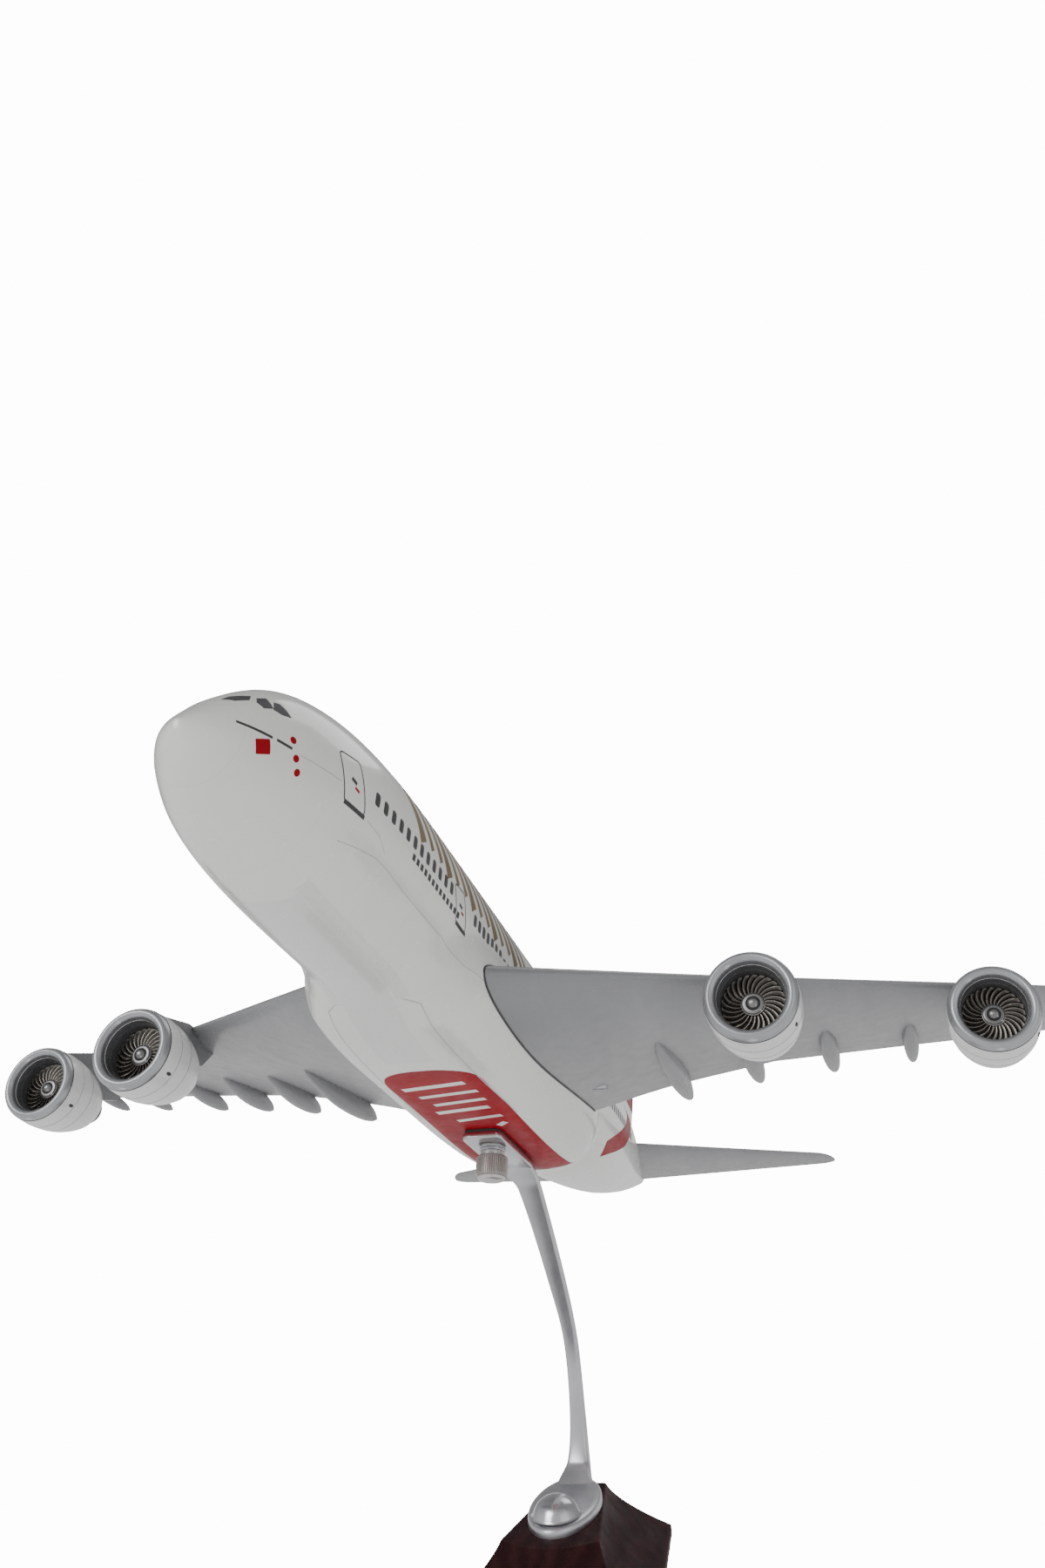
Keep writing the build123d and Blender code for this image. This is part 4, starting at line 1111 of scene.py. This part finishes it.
def makeBase():
    top, rim = baseForm["top"], baseForm["top"] - baseForm["drop"]
    rings = [(0.0, 0.9, top), (0.0, 0.25, top - 0.08), (0.0, 0.02, top - 0.3)]
    for level in range(1, baseForm["levels"] + 1):
        share = level / baseForm["levels"]
        rings.append((share ** baseForm["power"], 0.0, top - share * baseForm["drop"]))
    foot, felt = rim - baseForm["band"], baseForm["felt"]
    rings += [(1.0, -0.12, rim - 0.4), (1.0, -0.05, foot + 0.5), (1.0, 0.3, foot), (1.0, 1.5, foot - 0.05),
              (1.0, 1.75, foot - 0.4), (1.0, 4.5, felt + 0.3), (1.0, 4.9, felt + 0.02)]
    pad = [(1.0, 5.0, felt), (1.0, 5.0, 0.2), (1.0, 5.2, 0.0)]
    for name, levels, sharp, slotName, paint, node in (
            ("base_skin", rings, 28, "base_wood", "mahoganyLacquer", "wood_base"),
            ("felt_skin", pad, 30, "felt_dark", "pressedFelt", "felt_pad")):
        shell = [[Vector((p.x, p.y, z)) * mm for p in baseLoop(share, inset)] for share, inset, z in levels]
        settle(skinPiece(name, [shell], sharp), "stand", slotName, paints[paint], [node], level=False)


makeBase()
print("base made")


# What is drawn on the hull is a thin closed piece: heights above and below the skin in millimetres,
# and the widest strip drawn without a further row of points, in full-size metres.
ink = {"widest": 0.5, "over": 0.05, "under": 0.06}


# Angle round the hull: of a height on its side, of a distance out on its belly, or in degrees
def hullAngle(chart, aft, value):
    if chart == "degrees":
        return math.radians(value)
    low, high = (-1.5, 1.5) if chart == "side" else (-math.pi / 2, 0.0)
    wanted = value if chart == "side" else abs(value)
    for _ in range(24):
        middle = (low + high) / 2
        here = hullPoint(aft, middle) / metre
        if (here.z if chart == "side" else here.x) < wanted:
            low = middle
        else:
            high = middle
    return middle if chart == "side" or value >= 0 else -math.pi - middle


def onHull(chart, aft, value, side, rise):
    angle = hullAngle(chart, aft, value)
    here = hullPoint(aft, angle)
    along = hullPoint(aft + 0.03, angle) - here
    around = hullPoint(aft, angle + 0.006) - here
    spot = here + along.cross(around).normalized() * rise * mm
    return Vector((side * spot.x, spot.y, spot.z))


def densify(path, step):
    out = [path[0]]
    for a, b in zip(path, path[1:]):
        count = max(1, math.ceil((b - a).length / step))
        out += [a.lerp(b, i / count) for i in range(1, count + 1)]
    return out


# A thin strip along a line drawn on the hull; each row has points across it and a sunk corner at each end
def stroke(path, width, chart="side", side=1, closed=False, step=0.3, rise=0.0):
    path = densify([Vector(p) for p in path] + ([Vector(path[0])] if closed else []), step)
    if closed:
        path.pop()
    ends = width if isinstance(width, tuple) else (width, width)
    parts = 2 * math.ceil(max(ends) / ink["widest"])
    rows = []
    for i, here in enumerate(path):
        before = path[i - 1] if closed or i else here
        after = path[(i + 1) % len(path)] if closed or i < len(path) - 1 else here
        heading = (after - before).normalized()
        across = Vector((-heading.y, heading.x)) * mix(*ends, i / len(path)) / 2
        row = [here + across * (1 - 2 * part / parts) for part in range(parts + 1)]
        rows.append([onHull(chart, *row[0], side, -ink["under"]),
                     *(onHull(chart, *spot, side, ink["over"] + rise) for spot in row),
                     onHull(chart, *row[-1], side, -ink["under"])])
    return rows + [rows[0]] if closed else rows


# A thin shape with a rounded outline on the hull; every part of it is seen from its middle
def plaque(outline, chart="side", side=1, rings=7, step=0.4, rise=0.0):
    outline = [Vector(p) for p in outline]
    edge = densify(outline + [outline[0]], step)[:-1]
    middle = sum(outline, Vector((0, 0))) / len(outline)
    rows = [[onHull(chart, *p, side, -ink["under"]) for p in edge]]
    for ring in range(rings):
        share = 1 - ring / rings
        rows.append([onHull(chart, *middle.lerp(p, share), side, ink["over"] + rise) for p in edge])
    return rows


# One piece of all the shapes in one colour
def drawn(name, shells, paint):
    points, faces = [], []
    for rings in shells:
        ends = rings[0] is not rings[-1]
        more, moreFaces = skin(rings, (ends, ends), len(points))
        points += more
        faces += moreFaces
    settle(meshPiece(name, points, faces, 50), "aircraft", None, paints[paint])


def clipped(corners, radius=0.12, steps=3):
    return rounded([Vector(corner) for corner in corners], radius, steps)


# Corners of the cockpit's panes are (out, aft, up) and of the doors (aft, up), in full-size metres;
# a row of windows is a count, then its first and last (aft, up).
panes = (((0.44, 4.06, 0.47), (0.5, 4.36, 0.78), (1.06, 4.85, 1.04), (1.21, 4.56, 0.64), (0.92, 4.18, 0.42)),
         ((1.30, 4.88, 0.98), (1.45, 5.19, 1.11), (1.89, 5.07, 0.52), (1.72, 4.74, 0.36), (1.45, 4.69, 0.63)),
         ((1.74, 5.28, 0.98), (1.88, 5.45, 0.99), (2.32, 5.60, 0.40), (2.13, 5.26, 0.36), (1.93, 5.05, 0.49)))
doors = (((7.76, 0.39), (9.12, 0.62), (9.99, -1.22), (8.56, -1.29)),
         ((18.75, 0.55), (19.95, 0.60), (20.72, -1.02), (19.50, -0.96)))
windowRows = ((12, 10.6, -0.12, 18.45, 0.10), (9, 21.6, 0.04, 26.5, -0.02), (24, 27.3, -0.02, 45.9, 0.0),
              (14, 47.6, 0.05, 56.5, 0.55))
windowForm = {"wide": 2.3, "tall": 3.5, "radius": 0.85, "bend": 23.0, "rise": 0.055, "under": 0.07}


def degreesRound(out, aft, up):
    waist = hullRadius(aft, 0.0)[0]
    return aft, math.degrees(math.atan2(up - waist, out))


# A small rounded pane, bent to the hull's side, facing +x
def windowPane():
    half, tall = windowForm["wide"] / 2, windowForm["tall"] / 2
    loop = rounded([Vector(p) for p in ((-half, -tall), (half, -tall), (half, tall), (-half, tall))],
                   windowForm["radius"], 5)
    loop = densify(loop + [loop[0]], 0.5)[:-1]
    rows = []
    rise, bend = windowForm["rise"], 2 * windowForm["bend"]
    for share, height in ((1.0, -windowForm["under"]), (1.0, rise * 0.6), (0.93, rise), (0.5, rise)):
        rows.append([Vector((height - (p.y * share) ** 2 / bend, p.x * share, p.y * share)) * mm
                     for p in loop])
    return skinPiece("pane_form", [rows], 50)


def makeWindows():
    for name, side in (("left", 1), ("right", -1)):
        places, turns = [], []
        for count, aftA, upA, aftB, upB in windowRows:
            for i in range(count):
                aft, up = mix(aftA, aftB, i / (count - 1)), mix(upA, upB, i / (count - 1))
                here, raised = onHull("side", aft, up, side, 0.0), onHull("side", aft, up, side, 1.0)
                outward = (raised - here).normalized()
                back = (Vector((0, 1, 0)) - outward * outward.y).normalized()
                facing = Matrix((outward, back, outward.cross(back))).transposed()
                places.append(here)
                turns.append(facing.to_euler())
        row = pattern(name + "_cabin_windows", "points", windowPane(), 1, paints["windowTint"], places, turns)
        settle(row, "aircraft", None, paints["windowTint"])


makeWindows()


# Places are (aft, up) on the sides and (aft, out) under the belly, in full-size metres.
markForm = {
    "doorLine": 0.055, "sill": 0.17, "handle": ((-0.2, 0.12), (0.15, 0.05), 0.14),
    "doorSpot": ((0.1, -0.12), (0.4, -0.16), 0.10),
    "dots": ((5.59, -0.54), (5.84, -1.14), (6.06, -1.57)), "dotSize": (0.12, 0.14),
    "square": ((4.28, -1.22), (4.75, -0.97), (4.9, -1.49), (4.45, -1.72)),
    "noseLines": (((3.68, -0.85), (4.83, -0.87)), ((5.0, -0.86), (5.6, -0.88))), "noseLine": 0.10,
    "dashes": {"count": 13, "from": 14.15, "every": 0.44, "long": 0.26, "up": -0.62, "tall": 0.27},
    "bars": {"count": 15, "from": 13.9, "every": 1.06, "top": (-0.35, 2.9), "fall": 0.05, "foot": 1.1,
             "bold": (0.45, (0.3, 0.72)), "light": (0.62, (0.2, 0.42))},
    "seams": (((5.97, -0.95), (6.92, -0.86), (8.1, -0.75)),
              ((10.24, -1.19), (11.33, -1.27), (12.1, -1.6)),
              ((9.22, -2.51), (10.1, -2.29), (11.7, -1.97), (12.7, -1.95), (14.7, -2.02), (18.76, -1.97),
               (19.6, -2.24), (20.5, -2.62), (22.2, -2.72))), "seam": 0.035,
    "walk": ((9.6, 1.45), (14.0, 1.5), (19.3, 1.52)), "walkWide": 0.52,
    "walkSeam": ((19.3, 1.52), (19.9, 2.1), (24.2, 2.25), (32.4, 2.5)), "fold": ((45.2, -3.0), (49.0, -2.2)),
    "foldLine": 0.05,
    "tailBand": ((49.2, -2.3), (50.6, -1.65), (52.2, -0.95), (53.9, -0.1), (55.2, 1.0), (56.0, 2.2),
                 (56.5, 3.2)), "bandWide": (0.9, 1.9),
    "patch": ((25.4, -2.3), (25.4, 2.4), (45.2, 2.5), (45.2, -2.4)), "patchRadius": (4.0, 4.0, 1.6, 1.6),
    "bellyBars": ((27.3, -1.7, 1.5, 0.42), (28.5, -1.3, 1.75, 0.34), (29.7, -1.0, 1.75, 0.34),
                  (30.9, -1.3, 1.55, 0.42), (32.3, -0.7, 1.75, 0.34), (33.4, 1.1, 1.6, 0.34)),
    "barSlant": 0.5}


def drawDoor(corners, side, lines, red):
    topFront, topBack, lowBack, lowFront = corners
    lines.append(stroke(clipped(corners, 0.2), markForm["doorLine"], "side", side, True, 0.25))
    lines.append(stroke((lowFront, lowBack), markForm["sill"], "side", side, step=0.2, rise=0.01))
    middle = (Vector(topFront) + Vector(lowBack)) / 2
    for marks, part in ((lines, "handle"), (red, "doorSpot")):
        start, end, wide = markForm[part]
        marks.append(stroke((middle + Vector(start), middle + Vector(end)), wide, "side", side, step=0.1))


def drawBars(side, gold):
    form = markForm["bars"]
    for i in range(form["count"]):
        aft = form["from"] + i * form["every"]
        low, wide = form["light" if i % 3 else "bold"]
        top = (aft + form["top"][0], form["top"][1] - form["fall"] * i)
        gold.append(stroke((top, (aft + form["foot"], low)), wide, "side", side, step=0.2))


# Windows, doors, seams and plain bars, dots and blocks; nothing here is lettering or a mark
def makeMarkings():
    form = markForm
    glass, lines, fine, shade, red, gold, pale = ([] for _ in range(7))
    for side in (1, -1):
        for corners in panes:
            glass.append(plaque(clipped([degreesRound(*c) for c in corners], 0.08), "degrees", side, 6, 0.5))
        for corners in doors:
            drawDoor(corners, side, lines, red)
        for aft, up in form["dots"]:
            long, tall = form["dotSize"]
            dot = [(aft + long * math.cos(a), up + tall * math.sin(a)) for a in
                   (2 * math.pi * s / 14 for s in range(14))]
            red.append(plaque(dot, "side", side, 3, 0.3))
        red.append(plaque(clipped(form["square"], 0.05), "side", side, 4, 0.2))
        for line in form["noseLines"]:
            lines.append(stroke(line, form["noseLine"], "side", side, step=0.12))
        row = form["dashes"]
        for i in range(row["count"]):
            aft = row["from"] + i * row["every"]
            dash = ((aft, row["up"]), (aft + row["long"], row["up"]))
            lines.append(stroke(dash, row["tall"], "side", side, step=0.13))
        drawBars(side, gold)
        for path in form["seams"]:
            fine.append(stroke(path, form["seam"], "side", side, step=0.3))
        shade.append(stroke(form["walk"], form["walkWide"], "belly", side, step=0.35))
        fine.append(stroke(form["walkSeam"], form["foldLine"], "belly", side, step=0.35))
        shade.append(stroke(form["fold"], form["foldLine"], "side", side, step=0.3))
        red.append(stroke(form["tailBand"], form["bandWide"], "side", side, step=0.3))
    patch = rounded([Vector(p) for p in form["patch"]], form["patchRadius"], 14)
    red.append(plaque(patch, "belly", 1, 16, 0.5))
    for aft, fromOut, toOut, wide in form["bellyBars"]:
        bar = ((aft + form["barSlant"], fromOut), (aft, toOut))
        pale.append(stroke(bar, wide, "belly", 1, step=0.3, rise=0.04))
    for name, shells, paint in (("cockpit_panes", glass, "windowTint"), ("dark_line_marks", lines, "seamInk"),
                                ("fine_seams", fine, "fineInk"), ("walkway_marks", shade, "shadeInk"),
                                ("red_marks", red, "redLacquer"), ("gold_bars", gold, "goldPrint"),
                                ("belly_bars", pale, "whitePrint")):
        drawn(name, shells, paint)


makeMarkings()
print("markings made")


kept = {"dowel": "drawnSteel", "fan_shaft": "drawnSteel", "base_bolt": "drawnSteel", "insert": "turnedBrass"}
for nodeName, node in frame["nodes"].items():
    for word, paint in kept.items():
        if word in nodeName and not node.hide_render:
            node.data.materials.clear()
            node.data.materials.append(paints[paint])
print("kept parts finished")
